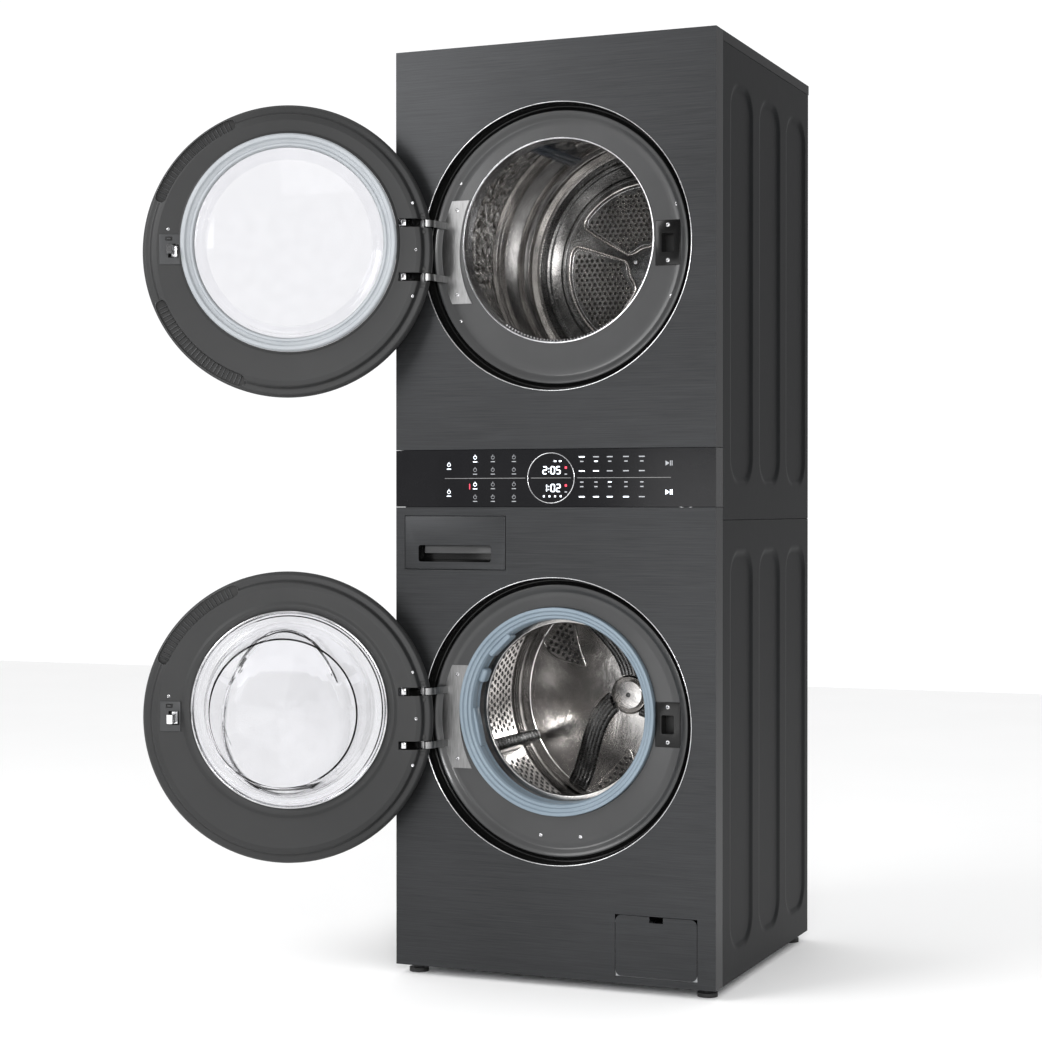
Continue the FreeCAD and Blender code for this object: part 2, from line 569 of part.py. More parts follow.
def pump_and_hoses():
    axis = ("filter_x", "filter_z")
    housing = rod("pump_barrel", 38, (axis[0], -314, axis[1]), 114, Y_AXIS)
    chamber = rod("pump_chamber", 45, (axis[0], -206, axis[1]), 56, Y_AXIS)
    motor = rod("pump_motor", 31, (axis[0], -150, axis[1]), 52, Y_AXIS)
    bore = rod("pump_bore", 30.5, (axis[0], -320, axis[1]), 110, Y_AXIS)
    node("drain_pump", cut("drain_pump", fuse("pump_solid", housing, chamber, motor), bore))
    flange = rod("cap_flange", 34, (axis[0], -319, axis[1]), 4.5, Y_AXIS)
    plug = rod("cap_plug", 30, (axis[0], -315, axis[1]), 20, Y_AXIS)
    basket = rod("cap_basket", 24, (axis[0], -296, axis[1]), 80, Y_AXIS)
    grip = block("cap_grip", (f"{axis[0]} - 26", -329, f"{axis[1]} - 4"), (f"{axis[0]} + 26", -318, f"{axis[1]} + 4"))
    node("filter_cap", fuse("filter_cap", flange, plug, basket, grip))
    cover = block("pump_cover_plate", ("pump_left", FRONT, "pump_low"),
                  ("pump_left + pump_wide", f"{FRONT} + 3", "pump_low + pump_tall"))
    notch = block("pump_notch", (206.5, f"{FRONT} - 1", "pump_low + pump_tall - 12"),
                  (235, f"{FRONT} + 5", "pump_low + pump_tall + 1"))
    node("pump_cover", cut("pump_cover", rounded("pump_cover_round", cover, 12, Y_AXIS), notch))
    sump = tube("sump_hose", 18, 15, (205, -176, 139), 206)
    fill = tube("fill_hose", 16, 13, (-200, -60, 752), 72)
    feed = rod("feed_hose", 8, (-150, -18, INLET_Z), 308, Y_AXIS)
    run = rod("drain_run", 12, (DRAIN_X, -176, "filter_z"), 488, Y_AXIS)
    rise = rod("drain_rise", 11.4, (DRAIN_X, 300, "filter_z"), f"{DRAIN_Z} - filter_z")
    stub = rod("drain_stub", 10.5, (DRAIN_X - 11, -170, "filter_z"), 11, X_AXIS)
    spigot = rod("drain_spigot", "inlet_radius", (DRAIN_X, 294, DRAIN_Z), f"{BACK} + spigot_out - 294", Y_AXIS)
    drain_bead = bead("drain_bead", DRAIN_X, DRAIN_Z, "inlet_radius + 2")
    node("hoses", group("hoses", sump, fill, feed, fuse("drain_hose", run, rise, stub, spigot, drain_bead)))
    valve = block("valve_body", (-195, 292, INLET_Z - 16), (-105, 328, INLET_Z + 16))
    threads = [rod(f"inlet_{x}", "inlet_radius", (x, 326, INLET_Z), f"{BACK} + spigot_out - 326", Y_AXIS)
               for x in INLET_X]
    beads = [bead(f"inlet_bead_{x}", x, INLET_Z, "inlet_radius + 2") for x in INLET_X]
    node("water_inlet_valves", fuse("water_inlet_valves", valve, *threads, *beads))


def detergent_drawer():
    low = ("drawer_left - 8", -322, "drawer_low - 7")
    high = ("drawer_left + drawer_wide + 8", -30, "seam - 2")
    node("detergent_housing", hollow("detergent_housing", low, high, 2, "-y"))
    left, right = "drawer_left + 5", "drawer_left + drawer_wide - 5"
    body = block("drawer_body", (left, -306, "drawer_low + 4"), (right, -45, "drawer_low + 88"))
    wells = [block(f"drawer_well_{i}", (f"{left} + 2.5 + {i} * 70.5", -303.5, "drawer_low + 6.5"),
                   (f"{left} + 2.5 + {i} * 70.5 + 67", -47.5, "drawer_low + 90")) for i in range(3)]
    node("drawer_box", cut("drawer_box", body, *wells))
    face = rounded("drawer_round", block("drawer_plate", ("drawer_left", f"{FRONT} - 1", "drawer_low"),
                                         ("drawer_left + drawer_wide", f"{FRONT} + 4", "drawer_low + drawer_tall")),
                   8, Y_AXIS)
    slot_low = ("drawer_left + 30.5", f"{FRONT} - 5", "drawer_low + 15")
    slot_high = ("drawer_left + 191.5", f"{FRONT} + 23", "drawer_low + 49")
    pocket = block("drawer_pocket", ("drawer_left + 28", f"{FRONT} + 3", "drawer_low + 12.5"),
                   ("drawer_left + 194", -306, "drawer_low + 51.5"))
    finger = rounded("drawer_finger", block("drawer_slot", slot_low, slot_high), 8, Y_AXIS)
    node("drawer_front", cut("drawer_front", fuse("drawer_solid", face, pocket), finger))


# ------------------------------------------------------------------ dryer
DRYER_AXIS = (0, "dryer_drum_z")
FILTER_HALF = 105                      # half width of the lint filter
ROLLER_SPREAD = 30                     # angle of the rollers from straight below the drum


def dryer_base():
    node("dryer_base", block("dryer_base", (f"-{INNER} + 8", f"{FRONT} + 50", "seam + 4"),
                             (f"{INNER} - 8", f"{BACK} - 4", "seam + 7")))


def front_bulkhead():
    plate = block("bulkhead_plate", (-325, -302, "strip_high + 12"), (325, -300, "cabinet_top - 25"))
    mouth = rod("bulkhead_mouth", "dryer_mouth + 2", (0, -320, "dryer_drum_z"), 25, Y_AXIS)
    latch = latch_box("bulkhead_latch", DRYER, 22, 34, -310, -290)
    collar = tube("bulkhead_collar", 280, 277, (0, -302, "dryer_drum_z"), 46, Y_AXIS)
    duct = block("bulkhead_duct", (-FILTER_HALF - 10, -301, 1150), (FILTER_HALF + 10, -266, "dryer_drum_z - 207"))
    slot = block("bulkhead_slot", (-FILTER_HALF - 1.5, -293.5, 1140), (FILTER_HALF + 1.5, -274.5, 1300))
    solid = fuse("bulkhead_solid", cut("bulkhead_open", plate, mouth, latch), collar, duct)
    node("dryer_front_bulkhead", cut("dryer_front_bulkhead", solid, slot))
    frame = block("filter_frame", (-FILTER_HALF, -292, 1160), (FILTER_HALF, -276, "dryer_drum_z - 208"))
    meshes = [block(f"filter_window_{x}", (x, -300, 1170), (x + 93, -270, "dryer_drum_z - 226")) for x in (-98, 5)]
    node("lint_filter", cut("lint_filter", frame, *meshes))


def roller_place(side):
    """Centre of a support roller, as expressions."""
    reach = "(dryer_drum + roller_radius + 0.4)"
    return f"{side} * {reach} * sin({ROLLER_SPREAD})", f"dryer_drum_z - {reach} * cos({ROLLER_SPREAD})"


def rear_bulkhead():
    plate = block("rear_plate", (-325, 262, "strip_high + 12"), (325, 264.5, "cabinet_top - 25"))
    vents = []
    for turn in range(0, 360, 30):
        x, z = f"140 * cos({turn})", f"dryer_drum_z + 140 * sin({turn})"
        vents.append(rod(f"vent_{turn}", 22, (x, 255, z), 20, Y_AXIS))
    pins = [rod(f"roller_pin_{side}", 6, (roller_place(side)[0], 218, roller_place(side)[1]), 45, Y_AXIS)
            for side in (-1, 1)]
    node("dryer_rear_bulkhead", fuse("dryer_rear_bulkhead", cut("rear_vented", plate, *vents), *pins))
    for side, label in ((-1, "left_roller"), (1, "right_roller")):
        x, z = roller_place(side)
        node(label, tube(label, "roller_radius", 6.05, (x, 222, z), 24, Y_AXIS))
    node("heater_box", hollow("heater_box", (-140, 266, 1120), (140, 325, 1480), 1.5))


def dryer_drum():
    shell_points = [("dryer_drum - shell", -262), ("dryer_drum", -262), ("dryer_drum", 256), (262, 256),
                    (262, "256 - shell"), ("dryer_drum - shell", "256 - shell")]
    node("dryer_drum", turned_at("dryer_drum", shell_points, *DRYER_AXIS))
    node("dryer_lifters", lifters(DRYER, "dryer_drum - shell", 50, -235, 235))


def belt_outline(offset):
    """Closed line round the drum and the motor pulley, a little outside both."""
    big, small = D["dryer_drum"] + offset, D["pulley_radius"] + offset
    drum = Vector(0, 0, D["dryer_drum_z"])
    pulley = Vector(D["motor_x"], 0, D["motor_z"])
    run = pulley - drum
    heading = math.atan2(run.z, run.x)
    lean = math.acos((big - small) / run.Length)

    def at(centre, radius, angle):
        return centre + Vector(math.cos(angle), 0, math.sin(angle)) * radius

    arc = Part.Arc(at(drum, big, heading + lean), at(drum, big, heading + math.pi), at(drum, big, heading - lean))
    nip = Part.Arc(at(pulley, small, heading - lean), at(pulley, small, heading), at(pulley, small, heading + lean))
    down = Part.LineSegment(at(drum, big, heading - lean), at(pulley, small, heading - lean))
    back = Part.LineSegment(at(pulley, small, heading + lean), at(drum, big, heading + lean))
    return Part.Wire([curve.toShape() for curve in (arc, down, nip, back)])


def drive():
    belt = doc.addObject("Part::Feature", "drive_belt")
    outer, inner = Part.Face(belt_outline(2.8)), Part.Face(belt_outline(0.4))
    belt.Shape = outer.cut(inner).extrude(Vector(0, 14, 0))
    belt.Placement = Placement(Vector(0, 41, 0), Rotation())
    node("drive_belt", belt)
    axis = ("motor_x", "motor_z")
    case = rod("motor_case", 60, (axis[0], -115, axis[1]), 130, Y_AXIS)
    cradle = block("motor_cradle", (f"{axis[0]} - 50", -100, "seam + 7"), (f"{axis[0]} + 50", 0, f"{axis[1]} - 40"))
    bore = rod("motor_bore", 8.05, (axis[0], -120, axis[1]), 145, Y_AXIS)
    node("dryer_motor", cut("dryer_motor", fuse("motor_solid", case, cradle), bore))
    shaft = rod("blower_shaft", 8, (axis[0], -240, axis[1]), 302, Y_AXIS)
    pulley = rod("blower_pulley", "pulley_radius", (axis[0], 36, axis[1]), 24, Y_AXIS)
    disc = rod("blower_disc", 78, (axis[0], -192, axis[1]), 3, Y_AXIS)
    vanes = tube("blower_vanes", 78, 70, (axis[0], -238, axis[1]), 48, Y_AXIS)
    node("blower_wheel", fuse("blower_wheel", shaft, pulley, disc, vanes))


def air_path():
    axis = ("motor_x", "motor_z")
    scroll_outer = rod("scroll_outer", 96, (axis[0], -258, axis[1]), 92, Y_AXIS)
    scroll_inner = rod("scroll_inner", 93, (axis[0], -256, axis[1]), 88, Y_AXIS)
    front_duct = block("front_duct", ("motor_x - 60", -298, "strip_high - 10"), (FILTER_HALF + 10, -258, 1149))
    front_hollow = block("front_hollow", ("motor_x - 58", -296, "strip_high - 8"), (FILTER_HALF + 8, -260, 1150))
    outlet = block("outlet_box", ("motor_x", -240, "exhaust_z - 53"), (EXHAUST_X + 53, -170, "exhaust_z + 53"))
    outlet_hollow = block("outlet_hollow", ("motor_x", -238, "exhaust_z - 51"),
                          (EXHAUST_X + 51, -172, "exhaust_z + 51"))
    inlet = rod("scroll_inlet", 35, (axis[0], -262, f"{axis[1]} - 18"), 10, Y_AXIS)
    shaft_hole = rod("scroll_shaft_hole", 12, (axis[0], -180, axis[1]), 20, Y_AXIS)
    duct_hole = rod("outlet_hole", "exhaust_radius - 1", (EXHAUST_X, -180, "exhaust_z"), 20, Y_AXIS)
    solid = fuse("air_solid", scroll_outer, front_duct, outlet)
    node("blower_housing", cut("blower_housing", solid, scroll_inner, front_hollow, outlet_hollow, inlet,
                               shaft_hole, duct_hole))
    pipe = rod("exhaust_pipe", "exhaust_radius", (EXHAUST_X, -170, "exhaust_z"), f"{BACK} + spigot_out + 170", Y_AXIS)
    bore = rod("exhaust_bore", "exhaust_radius - 1", (EXHAUST_X, -171, "exhaust_z"),
               f"{BACK} + spigot_out + 172", Y_AXIS)
    exhaust_bead = bead("exhaust_bead", EXHAUST_X, "exhaust_z", "exhaust_radius + 2")
    node("exhaust_duct", cut("exhaust_duct", fuse("exhaust_solid", pipe, exhaust_bead), bore))


# ------------------------------------------------------------------ doors
COVER_SLOPE = 0.33                     # how fast the cover deepens inwards from its rim
COVER_WALL = 2                         # thickness of the cover
COVER_INNER = 237                      # where the cover's cone meets the window
WINDOW_RISE = 28                       # bulge of the outer window
LINER_STEP = 28                        # liner's back face behind the hinge pin's plane
SEAL_DEPTH = 48                        # back of the dryer door's seal


def door_swing(machine):
    """Carries a piece made in the closed position to where the door stands open."""
    pin = Vector(D["pin_x"], worth(PIN_Y), 0)
    turn = Placement(pin, Rotation(Z_AXIS, -D["door_open"]))
    return turn.multiply(Placement(-pin, Rotation()))


def swing(machine, item):
    doc.recompute()
    item.Placement = door_swing(machine).multiply(item.Placement)
    return item


def eccentric(machine, name, radius, front, back):
    """A cylinder on the axis of the opening, which isn't the door's own axis; depths from the pin's plane."""
    return rod(name, radius, (0, f"{PIN_Y} + ({front})", MOUTH_Z[machine]), f"({back}) - ({front})", Y_AXIS)


def hinge_spaces(machine):
    """Slots in a door for both hinge arms, over their whole turn."""
    spaces = []
    for i, side in enumerate((-1, 1)):
        z = f"{DOOR_Z[machine]} + {side} * arm_z"
        spaces.append(block(f"{machine}_arm_space_{i}", ("pin_x - 12", f"{PIN_Y} - 17.5", f"{z} - {HINGE_SLOT_Z}"),
                            ("pin_x + 38", f"{PIN_Y} + 60", f"{z} + {HINGE_SLOT_Z}")))
    return spaces


def hinge_lugs(machine):
    """Pin supports inside the door, above and below each arm."""
    lugs, bores = [], []
    for i, side in enumerate((-1, 1)):
        for j, part in enumerate((-1, 1)):
            z = f"{DOOR_Z[machine]} + {side} * arm_z + {part * LUG_OFFSET}"
            lugs.append(block(f"{machine}_lug_{i}{j}", ("pin_x - 5", f"{PIN_Y} - 6", f"{z} - {LUG_HALF}"),
                              ("pin_x + 7", f"{PIN_Y} + 13", f"{z} + {LUG_HALF}")))
            bores.append(rod(f"{machine}_lug_bore_{i}{j}", 3.05, ("pin_x", PIN_Y, f"{z} - {LUG_HALF + 3}"),
                             2 * LUG_HALF + 6))
    return lugs, bores


def door_shell(machine, label, points):
    return turned_at(label, points, "door_x", DOOR_Z[machine], PIN_Y)


def door_liner(machine, opening):
    label = machine + "_door_liner"
    edge, inside = "door_radius", "door_radius - 3"
    centre, half, bend = "door_radius - rim_half", "rim_half", "0.70711 * rim_half"
    thin, thin_bend = "(rim_half - 3)", "0.70711 * (rim_half - 3)"
    points = [(edge, 0, (f"{centre} + {bend}", bend)), (centre, half), ("door_radius - 17", half),
              ("door_radius - 17", LINER_STEP), (150, LINER_STEP), (150, LINER_STEP - 3),
              ("door_radius - 20", LINER_STEP - 3), ("door_radius - 20", thin),
              (centre, thin, (f"{centre} + {thin_bend}", thin_bend)), (inside, 0)]
    shell = door_shell(machine, label + "_shell", points)
    lugs, bores = hinge_lugs(machine)
    window = eccentric(machine, label + "_window", opening, 0, 60)
    solid = fuse(label + "_solid", shell, *lugs)
    latch = latch_box(label + "_latch", machine, 11, 14, f"{PIN_Y} + 20", f"{PIN_Y} + 40")
    done = cut(label, solid, window, latch, *bores, *hinge_spaces(machine))
    node(label, swing(machine, done))


def door_cover(machine):
    label = machine + "_door_cover"
    inside = f"door_radius - {COVER_WALL}"
    centre, half, bend = "door_radius - rim_half", "-rim_half", "-0.70711 * rim_half"
    thin, thin_bend = f"-(rim_half - {COVER_WALL})", f"-0.70711 * (rim_half - {COVER_WALL})"
    depth = f"-rim_half - {COVER_SLOPE} * (door_radius - rim_half - {COVER_INNER})"
    points = [("door_radius", 0, ("door_radius - rim_half - " + bend, bend)), (centre, half),
              (COVER_INNER, depth), (COVER_INNER, f"{depth} + {COVER_WALL}"),
              (centre, thin, ("door_radius - rim_half - " + thin_bend, thin_bend)), (inside, 0)]
    shell = door_shell(machine, label + "_shell", points)
    node(label, swing(machine, group(label, shell)))


def cap(machine, name, rim, depth, rise, thickness):
    """A thin round window bulging forwards: a spherical cap of a given rim radius and rise."""
    bulge = f"((({rim}) ^ 2 + {rise} ^ 2) / (2 * {rise}))"
    balls = []
    for part, radius in (("front", bulge), ("back", f"{bulge} - {thickness}")):
        ball = doc.addObject("Part::Sphere", f"{name}_{part}")
        bind(ball, Radius=radius)
        balls.append(put(ball, "door_x", f"{PIN_Y} + ({depth}) - {rise} + {bulge}", DOOR_Z[machine]))
    barrel = rod(name + "_barrel", rim, ("door_x", f"{PIN_Y} + ({depth}) - {rise} - 1", DOOR_Z[machine]),
                 f"{rise} + 1 + {thickness}", Y_AXIS)
    return common(name, cut(name + "_skin", *balls), barrel)


def door_glass(machine):
    """Outer window, and behind it the dryer's flat pane or the washer's bowl."""
    label = machine + "_door_glass"
    depth = -D["rim_half"] - COVER_SLOPE * (D["door_radius"] - D["rim_half"] - COVER_INNER)
    outer = cap(machine, label + "_window", COVER_INNER - 0.5, depth, WINDOW_RISE, 3)
    if machine == DRYER:
        inner = eccentric(machine, label + "_pane", 205, 20.5, "20.5 + glass")
    else:
        bowl = [(200, 20.5), (200, "20.5 + glass"), ("washer_mouth - 4 + glass / 2", "20.5 + glass"),
                (164, 64), (150, 116), (118, 130), (0, 136), (0, "136 - glass"), (116, "130 - glass"),
                (146, 114), (160, 63), ("washer_mouth - 8 + glass / 2", 20.5)]
        inner = turned_at(label + "_bowl", bowl, 0, MOUTH_Z[machine], PIN_Y)
    node(label, swing(machine, group(label, outer, inner)))


def door_hook(machine):
    """Sprung hook that the latch catches; its barb points away from the hinge."""
    label = machine + "_door_hook"
    z = DOOR_Z[machine]
    shank = block(label + "_shank", ("latch_x - 4", f"{PIN_Y} + 22", f"{z} - 9"), ("latch_x + 3", f"{PIN_Y} + 66", f"{z} + 9"))
    barb = block(label + "_barb", ("latch_x + 2", f"{PIN_Y} + 55", f"{z} - 9"), ("latch_x + 8", f"{PIN_Y} + 62", f"{z} + 9"))
    foot_block = block(label + "_foot", ("latch_x - 6", f"{PIN_Y} + 15", f"{z} - 12"), ("latch_x + 5", f"{PIN_Y} + 24", f"{z} + 12"))
    node(label, swing(machine, fuse(label, shank, barb, foot_block)))


def doors():
    door_liner(DRYER, 192)
    door_liner(WASHER, 190)
    seal = cut("dryer_seal", eccentric(DRYER, "seal_outer", 219, LINER_STEP, SEAL_DEPTH),
               eccentric(DRYER, "seal_inner", 193, 20, 60))
    node("dryer_door_seal", swing(DRYER, seal))
    for machine in MACHINES:
        door_cover(machine)
        door_glass(machine)
        door_hook(machine)


# ------------------------------------------------------------------ build, check and write
def build():
    base_frame()
    feet()
    side_panels()
    front_panels()
    top_panel()
    back_panel()
    rings_and_hardware()
    washer_drum()
    tub()
    suspension()
    pump_and_hoses()
    detergent_drawer()
    dryer_base()
    front_bulkhead()
    rear_bulkhead()
    dryer_drum()
    drive()
    air_path()
    doors()


def check():
    doc.recompute()
    faults = [item.Name for item in doc.Objects if {"Invalid", "Error"} & set(item.State)]
    for label, item in NODES.items():
        shape = item.Shape
        if shape.isNull() or not shape.isValid() or not shape.Solids:
            faults.append(label)
    if faults:
        raise RuntimeError(f"failed objects: {faults}")
    for turn in ("dryer_door_hook", "washer_door_hook"):
        if NODES[turn].Shape.BoundBox.XMax > D["pin_x"]:
            raise RuntimeError(f"{turn} isn't on the open door")


def write():
    os.makedirs("parts", exist_ok=True)
    for label, item in NODES.items():
        item.Shape.exportStep(f"parts/{label}.step")
    print(len(NODES), "nodes")


build()
check()
write()
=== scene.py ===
"""Looks of the stacked laundry appliance: panels, doors, drums, controls, materials, light and camera."""
import bmesh
import bpy
import json
import math
from mathutils import Matrix, Vector, noise


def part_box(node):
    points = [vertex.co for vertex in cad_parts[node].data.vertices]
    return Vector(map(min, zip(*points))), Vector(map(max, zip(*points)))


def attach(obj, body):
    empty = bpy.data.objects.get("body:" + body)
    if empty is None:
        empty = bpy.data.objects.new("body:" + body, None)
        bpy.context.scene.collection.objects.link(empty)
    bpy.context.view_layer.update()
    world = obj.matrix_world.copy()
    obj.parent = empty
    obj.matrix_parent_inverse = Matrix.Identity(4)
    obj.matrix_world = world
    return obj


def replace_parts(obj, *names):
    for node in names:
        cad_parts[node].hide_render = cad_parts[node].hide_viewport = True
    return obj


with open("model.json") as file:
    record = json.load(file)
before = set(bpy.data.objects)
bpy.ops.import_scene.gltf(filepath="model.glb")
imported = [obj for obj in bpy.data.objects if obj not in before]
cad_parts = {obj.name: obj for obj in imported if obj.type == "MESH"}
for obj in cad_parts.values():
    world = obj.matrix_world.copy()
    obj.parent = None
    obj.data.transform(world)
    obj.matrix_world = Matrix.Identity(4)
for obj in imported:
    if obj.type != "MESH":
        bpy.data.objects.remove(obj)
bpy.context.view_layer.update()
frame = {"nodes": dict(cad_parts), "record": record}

# ------------------------------------------------------------------ places, worked out from the frame
MM = 0.001
JOINTS = {joint["name"]: joint for joint in frame["record"]["behaviour"]["joints"]}
MOUTH_Z = {"dryer": JOINTS["dryer_drum_spin"]["pos_m"][2], "washer": JOINTS["washer_drum_spin"]["pos_m"][2]}
PIN = {m: Vector(JOINTS[m + "_door_swing"]["pos_m"]) for m in ("dryer", "washer")}
DOOR_Z = {m: PIN[m].z for m in PIN}
DOOR_X = sum(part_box("dryer_ring")[i][0] for i in (0, 1)) / 2
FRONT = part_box("front_panel_lower")[0][1]
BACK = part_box("back_panel")[1][1]
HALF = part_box("side_panels_upper")[1][0]
FLOOR_Y = FRONT + 30 * MM              # face of the recess floors
ARM_Z = 54.5 * MM                      # hinge arms above and below a door's centre
LATCH_X = sum(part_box("latch_receivers")[i][0] for i in (0, 1)) / 2
OPEN_ANGLE = math.radians(160)         # the doors stand open at rest
ROUND = 160                            # steps round a large circle


# ------------------------------------------------------------------ node materials
class Nodes:
    """A material's node tree, built by short calls."""

    def __init__(self, name):
        self.material = bpy.data.materials.new(name)
        self.material.use_nodes = True
        self.tree = self.material.node_tree
        self.shader = self.tree.nodes["Principled BSDF"]
        self.coords = self.add("ShaderNodeTexCoord").outputs["Object"]

    def add(self, kind, **settings):
        item = self.tree.nodes.new(kind)
        for key, value in settings.items():
            setattr(item, key, value)
        return item

    def link(self, source, target):
        self.tree.links.new(source, target)

    def set(self, **values):
        for key, value in values.items():
            self.shader.inputs[key.replace("_", " ")].default_value = value

    def stretched(self, scale):
        mapping = self.add("ShaderNodeMapping")
        mapping.inputs["Scale"].default_value = scale
        self.link(self.coords, mapping.inputs["Vector"])
        return mapping.outputs["Vector"]

    def noise(self, scale, detail=4, roughness=0.6, stretch=(1, 1, 1), distortion=0.0):
        item = self.add("ShaderNodeTexNoise")
        item.inputs["Scale"].default_value = scale
        item.inputs["Detail"].default_value = detail
        item.inputs["Roughness"].default_value = roughness
        item.inputs["Distortion"].default_value = distortion
        self.link(self.stretched(stretch), item.inputs["Vector"])
        return item.outputs["Fac"]

    def cells(self, scale, stretch=(1, 1, 1)):
        item = self.add("ShaderNodeTexVoronoi")
        item.inputs["Scale"].default_value = scale
        self.link(self.stretched(stretch), item.inputs["Vector"])
        return item.outputs["Distance"]

    def ramp(self, source, *stops):
        item = self.add("ShaderNodeValToRGB")
        while len(item.color_ramp.elements) < len(stops):
            item.color_ramp.elements.new(0.5)
        for element, (place, value) in zip(item.color_ramp.elements, stops):
            element.position = place
            element.color = (*value, 1) if isinstance(value, tuple) else (value, value, value, 1)
        self.link(source, item.inputs["Fac"])
        return item.outputs["Color"]

    def span(self, source, low, high):
        item = self.add("ShaderNodeMapRange")
        item.inputs["To Min"].default_value = low
        item.inputs["To Max"].default_value = high
        self.link(source, item.inputs["Value"])
        return item.outputs["Result"]

    def bump(self, source, strength, distance):
        item = self.add("ShaderNodeBump")
        item.inputs["Strength"].default_value = strength
        item.inputs["Distance"].default_value = distance
        self.link(source, item.inputs["Height"])
        self.link(item.outputs["Normal"], self.shader.inputs["Normal"])

    def colour(self, source):
        self.link(source, self.shader.inputs["Base Color"])

    def rough(self, source):
        self.link(source, self.shader.inputs["Roughness"])


def brushed(name, dark, light, low, high, stretch, metallic=0.9, scale=1.0, strength=0.12,
            gloss=0.5):
    """Metal or coated metal with fine brush lines along the axis whose stretch is small."""
    m = Nodes(name)
    lines = m.noise(900 * scale, 3, 0.7, stretch)
    cloud = m.noise(3.0, 3, 0.5)
    mix = m.add("ShaderNodeMath", operation="MULTIPLY_ADD")
    m.link(lines, mix.inputs[0])
    mix.inputs[1].default_value = 0.75
    shade = m.span(cloud, 0.0, 0.25)
    m.link(shade, mix.inputs[2])
    m.colour(m.ramp(mix.outputs[0], (0.3, dark), (0.75, light)))
    m.rough(m.span(lines, low, high))
    m.set(Metallic=metallic)
    m.shader.inputs["Specular IOR Level"].default_value = gloss
    m.bump(lines, strength, 0.0002)
    return m.material


def moulded(name, dark, light, low, high, grain=900, strength=0.15, coat=0.0, gloss=0.5):
    """Moulded plastic or rubber with a fine grain and slight unevenness."""
    m = Nodes(name)
    fine = m.noise(grain, 2, 0.5)
    cloud = m.noise(6, 4, 0.6)
    m.colour(m.ramp(cloud, (0.3, dark), (0.7, light)))
    m.rough(m.span(fine, low, high))
    m.bump(fine, strength, 0.0003)
    m.set(Coat_Weight=coat)
    m.shader.inputs["Specular IOR Level"].default_value = gloss
    m.shader.inputs["Coat Roughness"].default_value = 0.08
    return m.material


def polished(name, dark, light, low, high, scale=9, strength=0.25, stretch=(1, 1, 1)):
    """Bright drawn steel whose surface waves a little."""
    m = Nodes(name)
    waves = m.noise(scale, 4, 0.55, stretch, 0.6)
    fine = m.noise(420, 2, 0.5)
    m.colour(m.ramp(waves, (0.3, dark), (0.7, light)))
    m.rough(m.span(fine, low, high))
    m.set(Metallic=1.0)
    m.bump(waves, strength, 0.004)
    return m.material


def glassy(name, tint, roughness=0.02):
    """Clear door glass: a thin see-through shell with Fresnel gloss."""
    m = Nodes(name)
    haze = m.noise(40, 3, 0.5)
    m.colour(m.ramp(haze, (0.35, tuple(c * 0.985 for c in tint)), (0.65, tint)))
    m.rough(m.span(haze, roughness, roughness + 0.012))
    m.set(Transmission_Weight=1.0, IOR=1.2)
    return m.material


def glowing(name, tint, strength):
    """A lit or printed mark that shines by itself."""
    m = Nodes(name)
    flicker = m.noise(300, 2, 0.5)
    m.colour(m.ramp(flicker, (0.3, tuple(c * 0.9 for c in tint)), (0.7, tint)))
    m.rough(m.span(flicker, 0.3, 0.4))
    m.shader.inputs["Emission Color"].default_value = (*tint, 1)
    m.shader.inputs["Emission Strength"].default_value = strength
    return m.material


